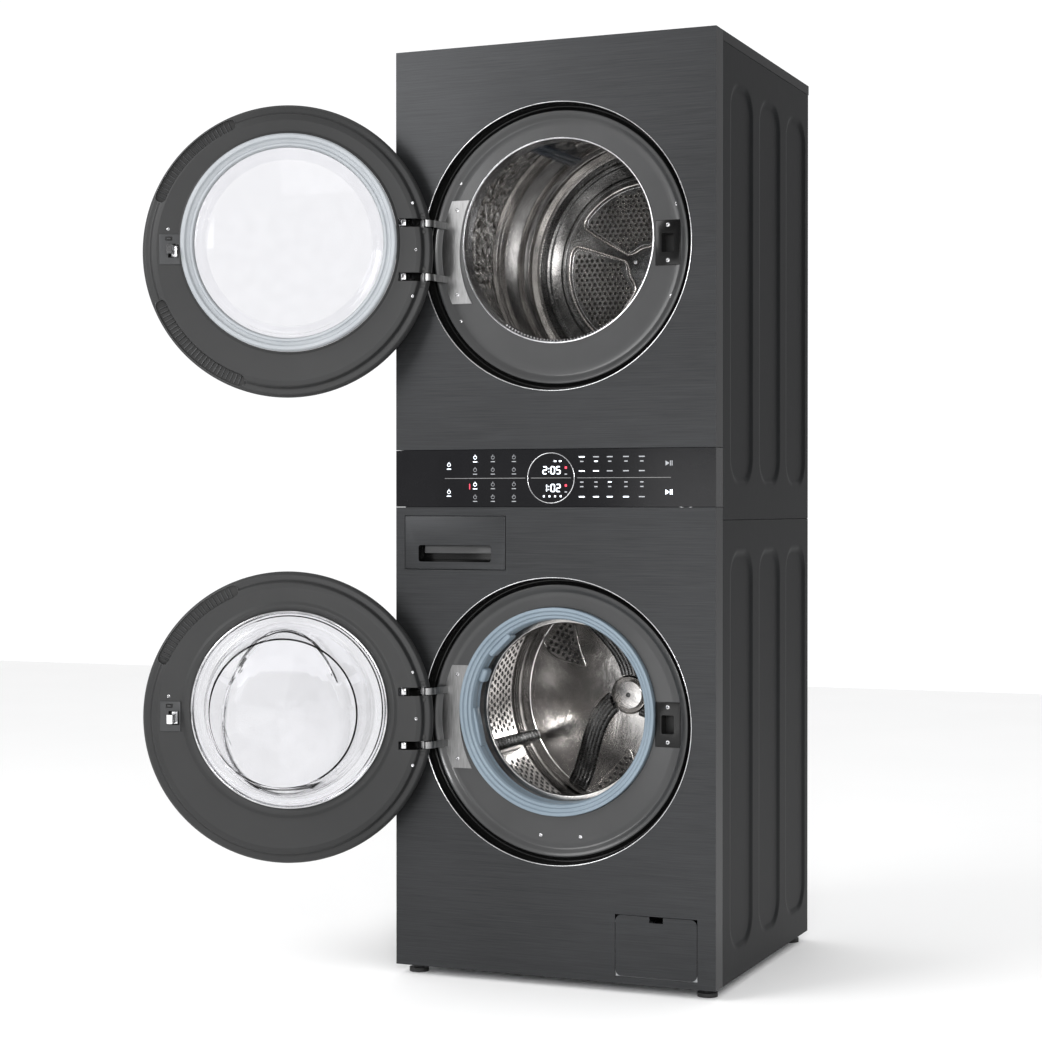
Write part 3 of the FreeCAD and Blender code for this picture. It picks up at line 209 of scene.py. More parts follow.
RECIPES = {
    "black_steel": (brushed, (0.022, 0.0227, 0.0238), (0.046, 0.0475, 0.0500), 0.34, 0.46, (0.012, 1, 1),
                    0.75, 1.0, 0.10),
    "side_steel": (brushed, (0.008, 0.0085, 0.009), (0.012, 0.0125, 0.0135), 0.46, 0.58, (1, 1, 0.05),
                   0.0, 0.6, 0.05, 0.14),
    "lid_steel": (moulded, (0.008, 0.008, 0.009), (0.013, 0.013, 0.014), 0.40, 0.50, 1200, 0.08, 0.0, 0.2),
    "control_gloss": (moulded, (0.004, 0.004, 0.005), (0.007, 0.007, 0.008), 0.10, 0.16, 300, 0.02, 0.0,
                      0.22),
    "recess_plastic": (moulded, (0.016, 0.0165, 0.017), (0.024, 0.0245, 0.0255), 0.34, 0.46, 1100, 0.08,
                       0.25),
    "liner_plastic": (moulded, (0.008, 0.0083, 0.0087), (0.012, 0.0123, 0.0127), 0.48, 0.60, 1300, 0.10),
    "gloss_black": (moulded, (0.003, 0.003, 0.003), (0.006, 0.006, 0.006), 0.14, 0.22, 200, 0.02, 0.0,
                    0.25),
    "dark_plastic": (moulded, (0.020, 0.021, 0.022), (0.032, 0.033, 0.035), 0.40, 0.55, 900, 0.15),
    # pocket_black: near-black painted shade for pocket walls, cut walls, slot wells and the bottoms of holes
    "pocket_black": (moulded, (0.004, 0.004, 0.004), (0.009, 0.009, 0.009), 0.45, 0.6, 700, 0.1),
    "bright_lip": (polished, (0.42, 0.42, 0.43), (0.66, 0.66, 0.67), 0.16, 0.26, 30, 0.05),
    "hinge_steel": (brushed, (0.17, 0.17, 0.17), (0.34, 0.34, 0.34), 0.26, 0.42, (1, 1, 0.06), 1.0, 0.5,
                    0.15),
    "stainless": (polished, (0.30, 0.29, 0.285), (0.78, 0.76, 0.74), 0.12, 0.24, 11, 0.35),
    "drum_texture": (polished, (0.20, 0.19, 0.185), (0.85, 0.83, 0.80), 0.14, 0.30, 60, 0.5),
    "dark_steel": (polished, (0.06, 0.06, 0.06), (0.20, 0.20, 0.20), 0.20, 0.35, 14, 0.3),
    "galvanised": (polished, (0.34, 0.35, 0.36), (0.52, 0.53, 0.54), 0.38, 0.52, 26, 0.08),
    "cast": (moulded, (0.20, 0.20, 0.21), (0.34, 0.34, 0.35), 0.45, 0.6, 260, 0.4),
    "gasket": (moulded, (0.150, 0.195, 0.235), (0.190, 0.240, 0.285), 0.42, 0.55, 500, 0.12, 0.1),
    "seal": (moulded, (0.30, 0.32, 0.34), (0.37, 0.39, 0.41), 0.45, 0.6, 700, 0.1),
    "lifter": (moulded, (0.022, 0.030, 0.042), (0.040, 0.052, 0.070), 0.18, 0.30, 300, 0.08, 0.5),
    "black_rubber": (moulded, (0.012, 0.012, 0.012), (0.022, 0.022, 0.022), 0.6, 0.75, 400, 0.3),
    "tub_plastic": (moulded, (0.42, 0.43, 0.44), (0.52, 0.53, 0.54), 0.5, 0.6, 300, 0.2),
    "concrete": (moulded, (0.26, 0.25, 0.24), (0.40, 0.39, 0.37), 0.8, 0.95, 160, 0.8),
    "windings": (moulded, (0.20, 0.08, 0.03), (0.45, 0.20, 0.08), 0.3, 0.5, 420, 0.5),
    "circuit_board": (moulded, (0.01, 0.08, 0.04), (0.02, 0.14, 0.07), 0.3, 0.45, 220, 0.4),
    "clear_glass": (glassy, (0.945, 0.945, 0.955)),
    "white_glow": (glowing, (0.85, 0.92, 1.0), 2.2),
    "dim_mark": (glowing, (0.35, 0.36, 0.38), 0.10),
    "ring_mark": (moulded, (0.16, 0.16, 0.16), (0.22, 0.22, 0.22), 0.3, 0.4, 300, 0.02),
    "red_glow": (glowing, (0.9, 0.05, 0.09), 0.9),
}
LOOKS = {name: maker(name, *values) for name, (maker, *values) in RECIPES.items()}

# look and slot of the commonest pieces
# POCKET_SHADE pieces and cutters put painted shade into pockets, slots and cut walls
POCKET_SHADE = "pocket_black", "dark_plastic"
PLASTIC = "dark_plastic", "dark_plastic"
BRIGHT = "bright_lip", "stainless"
STEEL = "stainless", "stainless"
GLASS = "clear_glass", "clear_glass"


# ------------------------------------------------------------------ mesh helpers
def piece(name, points, faces, body, look, sharp=35, looks=(), indices=None):
    """A mesh piece that rides on a body; looks are further materials that indices pick per face."""
    mesh = bpy.data.meshes.new(name)
    mesh.from_pydata([tuple(p) for p in points], [], faces)
    for title in (look, *looks):
        mesh.materials.append(LOOKS[title])
    if indices:
        mesh.polygons.foreach_set("material_index", indices)
    tidy_mesh(mesh)
    mesh.polygons.foreach_set("use_smooth", [True] * len(mesh.polygons))
    mesh.set_sharp_from_angle(angle=math.radians(sharp))
    item = bpy.data.objects.new(name, mesh)
    bpy.context.scene.collection.objects.link(item)
    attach(item, body)
    return item


def tidy_mesh(mesh):
    """Merges doubled points and turns every face outwards."""
    work = bmesh.new()
    work.from_mesh(mesh)
    bmesh.ops.remove_doubles(work, verts=work.verts, dist=1e-6)
    bmesh.ops.recalc_face_normals(work, faces=work.faces)
    work.to_mesh(mesh)
    work.free()


def fillet(points, closed=False, steps=5):
    """Rounds the corners of an outline of (a, b, radius) points."""
    out = []
    count = len(points)
    for i, (a, b, radius) in enumerate(points):
        here = Vector((a, b))
        if not radius or (not closed and i in (0, count - 1)):
            out.append(here)
            continue
        before = Vector(points[i - 1][:2]) - here
        after = Vector(points[(i + 1) % count][:2]) - here
        half = before.angle(after) / 2
        reach = min(radius / math.tan(half), before.length * 0.49, after.length * 0.49)
        start, end = here + before.normalized() * reach, here + after.normalized() * reach
        for k in range(steps + 1):
            f = k / steps
            out.append(start * (1 - f) ** 2 + here * 2 * f * (1 - f) + end * f ** 2)
    return out


def loft(name, rings, body, look, slot, closed=True, steps=ROUND, move=None, warp=None, sharp=35,
         looks=(), pick=None):
    """Circles (centre x, centre z, radius, y) joined in turn; closed joins the last to the first. warp
    changes each circle's radius and depth by angle, and move carries the finished points."""
    points, faces, indices = [], [], []
    for k, (cx, cz, radius, y) in enumerate(rings):
        for j in range(steps):
            angle = 2 * math.pi * j / steps
            r, d = warp(k, angle, radius, y) if warp else (radius, y)
            points.append(Vector((cx + r * math.cos(angle), d, cz + r * math.sin(angle))))
    for k in range(len(rings) if closed else len(rings) - 1):
        other = (k + 1) % len(rings)
        for j in range(steps):
            following = (j + 1) % steps
            faces.append((k * steps + j, k * steps + following, other * steps + following, other * steps + j))
            indices.append(pick(k) if pick else 0)
    if move:
        points = [move @ p for p in points]
    return piece(name, points, faces, body, look, sharp, looks, indices if pick else None)


def turned(name, outline, centre, base_y, body, look, slot, **more):
    """A lathe-turned ring or bowl: an outline of (radius, depth, corner radius) in mm, about Y."""
    closed = more.get("closed", True)
    rings = [(centre[0], centre[1], p[0] * MM, base_y + p[1] * MM) for p in fillet(outline, closed)]
    return loft(name, rings, body, look, slot, **more)


def slab(name, at, low, high, radius, body, look, slot, move=None, steps=3):
    """A box with all its edges rounded: its corners and radius are in mm from a place in the frame."""
    work = bmesh.new()
    bmesh.ops.create_cube(work, size=1)
    low, high = Vector(at) + Vector(low) * MM, Vector(at) + Vector(high) * MM
    for v in work.verts:
        v.co = Vector(low[i] if v.co[i] < 0 else high[i] for i in range(3))
    bmesh.ops.bevel(work, geom=work.edges[:], offset=radius * MM, segments=steps, profile=0.5, affect="EDGES")
    points = [v.co.copy() for v in work.verts]
    faces = [[v.index for v in f.verts] for f in work.faces]
    work.free()
    if move:
        points = [move @ p for p in points]
    return piece(name, points, faces, body, look)


def joined(name, items):
    """Several pieces of one body made into one."""
    items = [item for item in items if item]
    with bpy.context.temp_override(active_object=items[0], selected_editable_objects=items,
                                   selected_objects=items):
        bpy.ops.object.join()
    items[0].name = name
    return items[0]


def carved(item, cutters):
    """Cuts other pieces' shapes out of a piece and removes them."""
    for cutter in cutters:
        change = item.modifiers.new("cut", "BOOLEAN")
        change.object = cutter
        change.solver = "EXACT"
        # cut walls take the cutter's look, so POCKET_SHADE cutters paint shade onto them
        change.material_mode = "TRANSFER"
    bpy.context.view_layer.update()
    carved_mesh = bpy.data.meshes.new_from_object(item.evaluated_get(bpy.context.evaluated_depsgraph_get()))
    item.modifiers.clear()
    item.data = carved_mesh
    for cutter in cutters:
        bpy.data.objects.remove(cutter)
    item.data.polygons.foreach_set("use_smooth", [True] * len(item.data.polygons))
    item.data.set_sharp_from_angle(angle=math.radians(30))
    return item


def screws(name, places, body):
    """Dome-headed screws facing forwards, each with a recessed drive."""
    outline = [(0, 0.6, 0), (1.3, 0.4, 0.2), (1.7, -1.0, 0.2), (2.6, -1.2, 0.4), (4.2, -0.2, 0.5),
               (4.2, 0.8, 0)]
    return joined(name, [turned(f"{name}_{i}", outline, (x, z), y, body, *BRIGHT, closed=False, steps=20)
                         for i, (x, y, z) in enumerate(places)])


def swing(machine):
    """Carries a piece made on the closed door to where the door stands open."""
    pin = Matrix.Translation(PIN[machine])
    return pin @ Matrix.Rotation(-OPEN_ANGLE, 4, "Z") @ pin.inverted()


def dress(node, look, bevel=0.0):
    """A carried-over CAD node's material, and softened edges."""
    item = frame["nodes"][node]
    item.data.materials.clear()
    item.data.materials.append(LOOKS[look])
    if bevel:
        edge = item.modifiers.new("edges", "BEVEL")
        edge.width = bevel
        edge.segments = 2
        edge.limit_method = "ANGLE"
        edge.angle_limit = math.radians(50)
    return item


# ------------------------------------------------------------------ cabinet
def dress_frame():
    """Materials of the nodes that are kept as they are."""
    plain = {
        "black_steel": ("front_panel_upper", "front_panel_lower", "pump_cover"),
        "control_gloss": ("control_panel",),
        "galvanised": ("back_panel", "base_frame", "dryer_base", "heater_box", "dryer_front_bulkhead",
                       "exhaust_duct"),
        "dark_plastic": ("detergent_housing", "drain_pump", "filter_cap", "blower_housing", "blower_wheel",
                         "water_inlet_valves", "lint_filter"),
        "tub_plastic": ("tub_front", "tub_rear", "drawer_box"),
        "hinge_steel": ("door_hinges", "motor_rotor"),
        "cast": ("washer_spider", "dampers", "bearings"),
        "stainless": ("suspension_springs",),
        "black_rubber": ("hoses", "drive_belt", "left_roller", "right_roller", "front_foot_left",
                         "front_foot_right", "rear_feet"),
        "concrete": ("counterweights",),
        "windings": ("stator", "dryer_motor"),
        "circuit_board": ("control_board",),
        "lid_steel": ("top_panel",),
    }
    edges = {"front_panel_upper": 1.2 * MM, "front_panel_lower": 1.2 * MM, "control_panel": 1.0 * MM,
             "top_panel": 1.2 * MM, "back_panel": 0.4 * MM, "pump_cover": 0.8 * MM}
    for look, nodes in plain.items():
        for node in nodes:
            dress(node, look, edges.get(node, 0.0))


def channel_depth(y, z, centres, low, high):
    """How far the side sheet is pressed in at a point, in flat-bottomed round-ended channels."""
    half_y, half_z = 71 * MM, (high - low) / 2
    corner, soft, deep = 50 * MM, 9 * MM, 4 * MM
    best = 1.0
    for centre in centres:
        dy = abs(y - centre) - (half_y - corner)
        dz = abs(z - (low + high) / 2) - (half_z - corner)
        outside = math.hypot(max(dy, 0), max(dz, 0)) + min(max(dy, dz), 0) - corner
        best = min(best, outside)
    blend = min(max(0.5 - best / soft, 0), 1)
    return deep * blend * blend * (3 - 2 * blend)


def side_panel(name, side, low_z, high_z, channel_low, channel_high):
    """One side sheet with three pressed channels, as a sheet with real thickness."""
    y0, y1 = FRONT + 45 * MM, BACK
    centres = [35 * MM + i * 200 * MM for i in (-1, 0, 1)]
    step = 5 * MM
    across, up = round((y1 - y0) / step), round((high_z - low_z) / step)
    points, faces = [], []
    for skin in (0, 1.2 * MM):
        for j in range(up + 1):
            z = low_z + (high_z - low_z) * j / up
            for i in range(across + 1):
                y = y0 + (y1 - y0) * i / across
                depth = channel_depth(y, z, centres, channel_low, channel_high)
                points.append(Vector((side * (HALF - depth - skin), y, z)))
    row, layer = across + 1, (across + 1) * (up + 1)
    for base in (0, layer):
        for j in range(up):
            for i in range(across):
                a = base + j * row + i
                faces.append((a, a + 1, a + row + 1, a + row))
    border = [i for i in range(across)] + [j * row + across for j in range(up)]
    border += [up * row + i for i in range(across, 0, -1)] + [j * row for j in range(up, 0, -1)]
    for k, a in enumerate(border):
        b = border[(k + 1) % len(border)]
        faces.append((a, b, b + layer, a + layer))
    return piece(name, points, faces, "cabinet", "side_steel", sharp=50)


def side_panels():
    """Both pairs of side sheets."""
    for part in ("lower", "upper"):
        node = f"side_panels_{part}"
        low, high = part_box(node)
        foot = low[2] + (62 if part == "lower" else 77) * MM
        pair = [side_panel(f"side_{part}_{title}", side, low[2], high[2], foot, foot + 785 * MM)
                for title, side in (("left", -1), ("right", 1))]
        for item in pair:
            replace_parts(item, node)


# ------------------------------------------------------------------ recess rings, openings and hardware
def recess(machine):
    """Moulded dish round a doorway: wall, rolled shoulder, flat floor, edge of the opening."""
    z, mouth = DOOR_Z[machine], MOUTH_Z[machine]
    shoulder = [(286.2, 0.3, 0), (285.6, 20, 4), (283, 28.5, 4), (279, 28.5, 3), (275, 22, 6), (271, 19, 6),
                (265, 22.5, 8), (257, 29, 10), (248, 30, 0)]
    rings = [(DOOR_X, z, p[0] * MM, FRONT + p[1] * MM) for p in fillet(shoulder)]
    opening = (206.5 if machine == "dryer" else 210.6) * MM
    for i in range(1, 7):
        f = i / 6
        rings.append((DOOR_X * (1 - f), z * (1 - f) + mouth * f, 248 * MM * (1 - f) + opening * f, FLOOR_Y))
    rings.append((0, mouth, opening, FRONT + 32.5 * MM))
    rings += [(DOOR_X, z, r * MM, FRONT + y * MM) for r, y in ((252, 33), (287.2, 32), (287.2, 0.3))]
    # rings wider than 274 mm (the wall and groove) take gloss_black, darker than the floor's recess_plastic:
    # painted shade in the groove
    dish = loft(machine + "_recess", rings, "cabinet", "gloss_black", "dark_plastic", steps=240,
                looks=("recess_plastic",), pick=lambda k: 0 if rings[k][2] > 274 * MM else 1)
    cutter = slab("latch_cutter", (LATCH_X, FLOOR_Y, z), (-14.3, -20, -20), (14.3, 20, 20), 0.5, "cabinet",
                  *POCKET_SHADE)
    carved(dish, [cutter])
    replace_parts(dish, machine + "_ring")
    lip = [(286.2, 0.6, 0.3), (286.4, -1.6, 0.9), (287.6, -2.0, 1.0), (288.4, -1.2, 0.9), (288.6, 0.2, 0.2)]
    turned(machine + "_recess_lip", lip, (DOOR_X, z), FRONT, "cabinet", *BRIGHT, steps=240)


def latch(machine):
    """Plate and switch pocket that catch a door's hook."""
    at = (LATCH_X, FLOOR_Y, DOOR_Z[machine])
    plate = slab(machine + "_latch_plate", at, (-26, -2.6, -44.5), (26, -0.2, 44.5), 1.1, "cabinet",
                 "gloss_black", "dark_plastic")
    carved(plate, [slab("slot_cutter", at, (-13, -9, -18.5), (13, 9, 18.5), 2.5, "cabinet", *POCKET_SHADE)])
    deep = 27
    walls = (((-15, 0, -20), (-13.2, deep, 20)), ((13.2, 0, -20), (15, deep, 20)),
             ((-15, 0, 18.7), (15, deep, 20.4)), ((-15, 0, -20.4), (15, deep, -18.7)),
             ((-15, deep, -20), (15, deep + 1.6, 20)))
    # the switch pocket's walls are near-black painted shade
    case = joined(machine + "_latch_case", [
        slab(f"{machine}_latch_wall_{i}", at, low, high, 0.4, "cabinet", *POCKET_SHADE)
        for i, (low, high) in enumerate(walls)])
    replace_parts(plate, "latch_receivers")
    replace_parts(case, "latch_receivers")


def hardware():
    """Screws of the latch plates, and those round each recess at (angle, reach in mm) from its centre."""
    spots = {"dryer": ((17, 258), (-24, 258), (147, 259), (213, 259)), "washer": ((-79, 236), (-100, 236))}
    places = []
    for machine, z in DOOR_Z.items():
        places += [(LATCH_X, FLOOR_Y - 2.4 * MM, z + side * 34.7 * MM) for side in (-1, 1)]
        around = [(180 - side * 21, 240, 1.8) for side in (-1, 1)]
        for degrees, reach, proud in (*around, *((*spot, 1.2) for spot in spots[machine])):
            angle = math.radians(degrees)
            places.append((DOOR_X + reach * MM * math.cos(angle), FLOOR_Y - proud * MM,
                           z + reach * MM * math.sin(angle)))
    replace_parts(screws("cabinet_screws", places, "cabinet"), "ring_screws")


# ------------------------------------------------------------------ floor, light and camera
def studio():
    """Pale floor, a sky that darkens from the left to the right, and four soft lamps."""
    bpy.ops.mesh.primitive_plane_add(size=14, location=(0, 0, 0))
    ground = bpy.context.object
    ground.name = "studio_floor"
    m = Nodes("studio_floor")
    cloud = m.noise(1.5, 2, 0.5)
    m.colour(m.ramp(cloud, (0.3, (0.95, 0.95, 0.95)), (0.7, (0.965, 0.965, 0.965))))
    m.rough(m.span(cloud, 0.75, 0.85))
    ground.data.materials.append(m.material)
    world = bpy.data.worlds.new("studio")
    world.use_nodes = True
    tree = world.node_tree
    background = tree.nodes["Background"]
    place = tree.nodes.new("ShaderNodeTexCoord")
    across = tree.nodes.new("ShaderNodeVectorMath")
    across.operation = "DOT_PRODUCT"
    across.inputs[1].default_value = (0.5, -0.175, 0)
    shift = tree.nodes.new("ShaderNodeMath")
    shift.operation = "ADD"
    shift.inputs[1].default_value = 0.5
    shade = tree.nodes.new("ShaderNodeValToRGB")
    stops = ((0.26, 1.0), (0.40, 0.92), (0.53, 0.30), (0.60, 0.07))
    while len(shade.color_ramp.elements) < len(stops):
        shade.color_ramp.elements.new(0.5)
    for element, (spot, value) in zip(shade.color_ramp.elements, stops):
        element.position = spot
        element.color = (value, value, value * 1.01, 1)
    parts = tree.nodes.new("ShaderNodeSeparateXYZ")
    overhead = tree.nodes.new("ShaderNodeMapRange")
    overhead.inputs["From Min"].default_value = 0.35
    overhead.inputs["From Max"].default_value = 0.60
    mix = tree.nodes.new("ShaderNodeMix")
    mix.data_type = "RGBA"
    mix.inputs["B"].default_value = (1, 1, 1, 1)
    for source, target in ((place.outputs["Generated"], across.inputs[0]),
                           (across.outputs["Value"], shift.inputs[0]),
                           (shift.outputs[0], shade.inputs["Fac"]),
                           (place.outputs["Generated"], parts.inputs[0]),
                           (parts.outputs["Z"], overhead.inputs["Value"]),
                           (overhead.outputs["Result"], mix.inputs["Factor"]),
                           (shade.outputs["Color"], mix.inputs["A"]),
                           (mix.outputs["Result"], background.inputs["Color"])):
        tree.links.new(source, target)
    background.inputs["Strength"].default_value = 1.05
    bpy.context.scene.world = world
    lamps = (("key", (-2.6, -3.4, 2.9), 2.2, 95), ("fill", (3.2, -3.6, 1.8), 2.6, 40),
             ("low", (-0.4, -4.2, 0.4), 1.6, 22), ("front", (1.5, -3.9, 1.5), 0.7, 60))
    middle = Vector((0, 0, 0.95))
    for name, spot, size, power in lamps:
        lamp = bpy.data.lights.new(name, "AREA")
        lamp.size = size
        lamp.energy = power
        item = bpy.data.objects.new(name, lamp)
        item.location = spot
        item.rotation_euler = (middle - Vector(spot)).to_track_quat("-Z", "Y").to_euler()
        bpy.context.scene.collection.objects.link(item)
    bpy.context.scene.view_settings.view_transform = "Standard"


def camera():
    """Camera to the right of the front, a little tilted down."""
    lens = bpy.data.cameras.new("camera")
    lens.sensor_width = 36
    lens.lens = 76.45
    item = bpy.data.objects.new("camera", lens)
    item.location = (1.6387, -4.4305, 0.9614)
    item.rotation_euler = (math.radians(90 - 0.3985), 0, math.radians(22.594))
    bpy.context.scene.collection.objects.link(item)
    bpy.context.scene.camera = item


# ------------------------------------------------------------------ doors
def wire(name, points, radius, body, look, slot, closed=False, move=None, sides=8):
    """A thin round bead along a line of points."""
    count = len(points)
    corners, faces = [], []
    for i, here in enumerate(points):
        before = points[i - 1] if closed or i else here
        after = points[(i + 1) % count] if closed or i < count - 1 else here
        along = (after - before).normalized()
        side = along.cross(Vector((0, 1, 0)) if abs(along.y) < 0.9 else Vector((1, 0, 0))).normalized()
        up = side.cross(along)
        for k in range(sides):
            a = 2 * math.pi * k / sides
            corners.append(here + (side * math.cos(a) + up * math.sin(a)) * radius)
    for i in range(count if closed else count - 1):
        j = (i + 1) % count
        for k in range(sides):
            m = (k + 1) % sides
            faces.append((i * sides + k, i * sides + m, j * sides + m, j * sides + k))
    if not closed:
        faces += [tuple(range(sides)), tuple(range((count - 1) * sides, count * sides))]
    if move:
        corners = [move @ p for p in corners]
    return piece(name, corners, faces, body, look, 60)


def smoothed(line):
    """A closed line of points with its corners eased."""
    return [(line[i - 1] + line[i] * 2 + line[(i + 1) % len(line)]) / 4 for i in range(len(line))]


def sector(inner, outer, start, end, corner, steps=28):
    """Outline of part of a ring with rounded corners, as (x, z) pairs in mm; angles in degrees."""
    def at(radius, degrees):
        a = math.radians(degrees)
        return radius * math.cos(a), radius * math.sin(a)

    outer_spread, inner_spread = math.degrees(corner / outer), math.degrees(corner / inner)

    def corner_points(radius, inwards, edge, spread, leaving):
        bend = [(0.35, edge + spread * 0.25), (0.75, edge + math.copysign(0.03, spread)), (1, edge)]
        return [at(radius + inwards * corner * k, a) for k, a in (bend if leaving else bend[::-1])]

    def arc(radius, first, last):
        return [at(radius, first + (last - first) * k / steps) for k in range(steps + 1)]

    return (arc(outer, start + outer_spread, end - outer_spread)
            + corner_points(outer, -1, end, -outer_spread, True)
            + corner_points(inner, 1, end, -inner_spread, False)
            + arc(inner, end - inner_spread, start + inner_spread)
            + corner_points(inner, 1, start, inner_spread, True)
            + corner_points(outer, -1, start, outer_spread, False))


def prism(name, outline, centre, low_y, high_y, body, look, slot, move=None):
    """An outline of (x, z) pairs in mm about a centre, drawn out along Y."""
    count = len(outline)
    points = [Vector((centre[0] + x * MM, y, centre[1] + z * MM)) for y in (low_y, high_y)
              for x, z in outline]
    faces = [tuple(range(count)), tuple(range(count, 2 * count))]
    faces += [(i, (i + 1) % count, count + (i + 1) % count, count + i) for i in range(count)]
    if move:
        points = [move @ p for p in points]
    return piece(name, points, faces, body, look)


# start and end angle of each hand grip, in degrees
GRIPS = {"dryer": ((21, 68), (-72, -21)), "washer": ((23, 69),)}


def door_inside(machine):
    """The moulded liner: rounded rim, sloping shoulder, raised ring round the glass, grips, hook pocket."""
    body = machine + "_door"
    pin, z, mouth = PIN[machine], DOOR_Z[machine], MOUTH_Z[machine]
    y = pin.y
    rim = [(297, 0, 0), (297, 8, 7), (291, 14.4, 7), (280, 15.6, 6), (275, 25, 6), (264, 28, 8), (252, 28, 0)]
    rings = [(DOOR_X, z, p[0] * MM, y + p[1] * MM) for p in fillet(rim, steps=6)]
    if machine == "dryer":
        step = [(229, 28), (226, 28.2), (222.5, 31.4), (221, 31.8), (220.2, 24.5)]
    else:
        step = [(222, 28), (219, 28.4), (215, 31.4), (213, 31.8), (204, 31.8), (201.5, 30.5), (200, 27),
                (200, 24.5)]
    for i in range(1, 6):
        f = i / 6
        rings.append((DOOR_X * (1 - f), z * (1 - f) + mouth * f, (252 * (1 - f) + step[0][0] * f) * MM,
                      y + 28 * MM))
    rings += [(0, mouth, r * MM, y + d * MM) for r, d in step]
    rings += [(DOOR_X, z, r * MM, y + d * MM) for r, d in ((272, 24), (277, 11), (288, 9), (293.5, 0))]
    liner = loft(machine + "_liner", rings, body, "liner_plastic", "dark_plastic", steps=240)
    cutters = [slab("arm_cutter", pin + Vector((0, 0, side * ARM_Z)), (-30, -20, -8.6), (49, 60, 8.6), 1,
                    body, *POCKET_SHADE)
               for side in (-1, 1)]
    cutters.append(slab("hook_cutter", (LATCH_X, y, z), (-11, 18, -14), (11, 60, 14), 1.5, body, *POCKET_SHADE))
    for start, end in GRIPS[machine]:
        outline = sector(266.5, 292, start, end, 9)
        cutters.append(prism("grip_cutter", outline, (DOOR_X, z), y + 7 * MM, y + 60 * MM, body, *POCKET_SHADE))
    carved(liner, cutters)
    liner.data.transform(swing(machine))
    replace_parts(liner, machine + "_door_liner")


def grips(machine):
    """Ribbed hand grips sunk into the liner's rim, each with a thin lip round it."""
    body, open_it = machine + "_door", swing(machine)
    y, z = PIN[machine].y, DOOR_Z[machine]
    pitch = 1.9
    parts = []
    for n, (start, end) in enumerate(GRIPS[machine]):
        # each grip's floor between the ribs is near-black painted shade
        parts.append(prism(f"{machine}_grip_floor_{n}", sector(266.6, 291.9, start, end, 9), (DOOR_X, z),
                           y + 7.2 * MM, y + 9.2 * MM, body, *POCKET_SHADE, open_it))
        for i in range(int((end - start - 3) / pitch)):
            a = math.radians(start + 2.4 + i * pitch)
            out = Vector((math.cos(a), 0, math.sin(a)))
            centre = Vector((DOOR_X, y + 10.2 * MM, z))
            rib = [centre + out * (r * MM) for r in (269.5, 288.5)]
            parts.append(wire(f"{machine}_rib_{n}_{i}", rib, 1.5 * MM, body, *PLASTIC, move=open_it, sides=6))
        line = [Vector((DOOR_X + px * MM, y + (15.0 if math.hypot(px, pz) > 279 else 22.5) * MM, z + pz * MM))
                for px, pz in sector(265.8, 292.4, start, end, 9)]
        parts.append(wire(f"{machine}_grip_lip_{n}", smoothed(line), 0.8 * MM, body, "recess_plastic",
                          "dark_plastic", closed=True, move=open_it))
    joined(machine + "_grips", parts)


def door_hardware(machine):
    """Hook pocket, clamps that hold the hinge arms' slots, and the liner's screws."""
    body, open_it, pin = machine + "_door", swing(machine), PIN[machine]
    at = Vector((LATCH_X, pin.y, pin.z))
    plate = slab(machine + "_hook_plate", at, (-14, 27, -28), (29, 30.4, 34), 1.6, body, *PLASTIC)
    carved(plate, [slab("hole", at, (-11, 20, -14), (11, 40, 14), 1.5, body, *POCKET_SHADE),
                   slab("hole", at, (2, 28.6, 20.5), (16, 40, 28.5), 1.2, body, *POCKET_SHADE)])
    plate.data.transform(open_it)
    # near-black painted shade at the back of the hook pocket
    back = slab(machine + "_hook_well", at, (-12, 14, -15), (12, 15, 15), 0.4, body, *POCKET_SHADE, open_it)
    lever = slab(machine + "_hook_lever", at, (5, 28.8, 22.6), (13.4, 31.6, 26.4), 1.2, body,
                 "recess_plastic", "dark_plastic", open_it)
    joined(machine + "_hook_pocket", [plate, back, lever])
    clamps, wells = [], []
    for side in (-1, 1):
        arm = pin + Vector((0, 0, side * ARM_Z))
        clamps.append(slab(f"{machine}_clamp_{side}", arm, (33, 12, -6.2), (43, 29.5, 6.2), 1.4, body,
                           *BRIGHT, open_it))
        # near-black slabs of painted shade in the slots beside each clamp
        wells += [slab(f"{machine}_well_{side}_{low}", arm, (-5, 12.5, low), (5, 17.5, low + 7.2), 0.5, body,
                       *POCKET_SHADE, open_it) for low in (-20.6, 13.4)]
    joined(machine + "_hinge_clamps", clamps)
    joined(machine + "_hinge_wells", wells)
    spots = [pin + Vector((x, 28, z)) * MM for x, z in ((20, -94), (20, 94), (13, 0))]
    spots.append(at + Vector((11, 28, 44)) * MM)
    outline = [(0, -0.8, 0), (1.2, -0.6, 0.2), (1.6, 0.9, 0.2), (2.4, 1.1, 0.4), (3.4, 0.2, 0.5),
               (3.4, -1.2, 0)]
    joined(machine + "_liner_screws", [
        turned(f"{machine}_liner_screw_{i}", outline, (x, z), y, body, *BRIGHT, closed=False, steps=18,
               move=open_it)
        for i, (x, y, z) in enumerate(spots)])


def egg(angle, radius):
    """Narrows a circle to the bowl's egg shape: slimmer across, slimmer still towards the top."""
    across, up = math.cos(angle), math.sin(angle)
    slim = 0.75 - 0.09 * up
    return radius / math.hypot(across / slim, up)


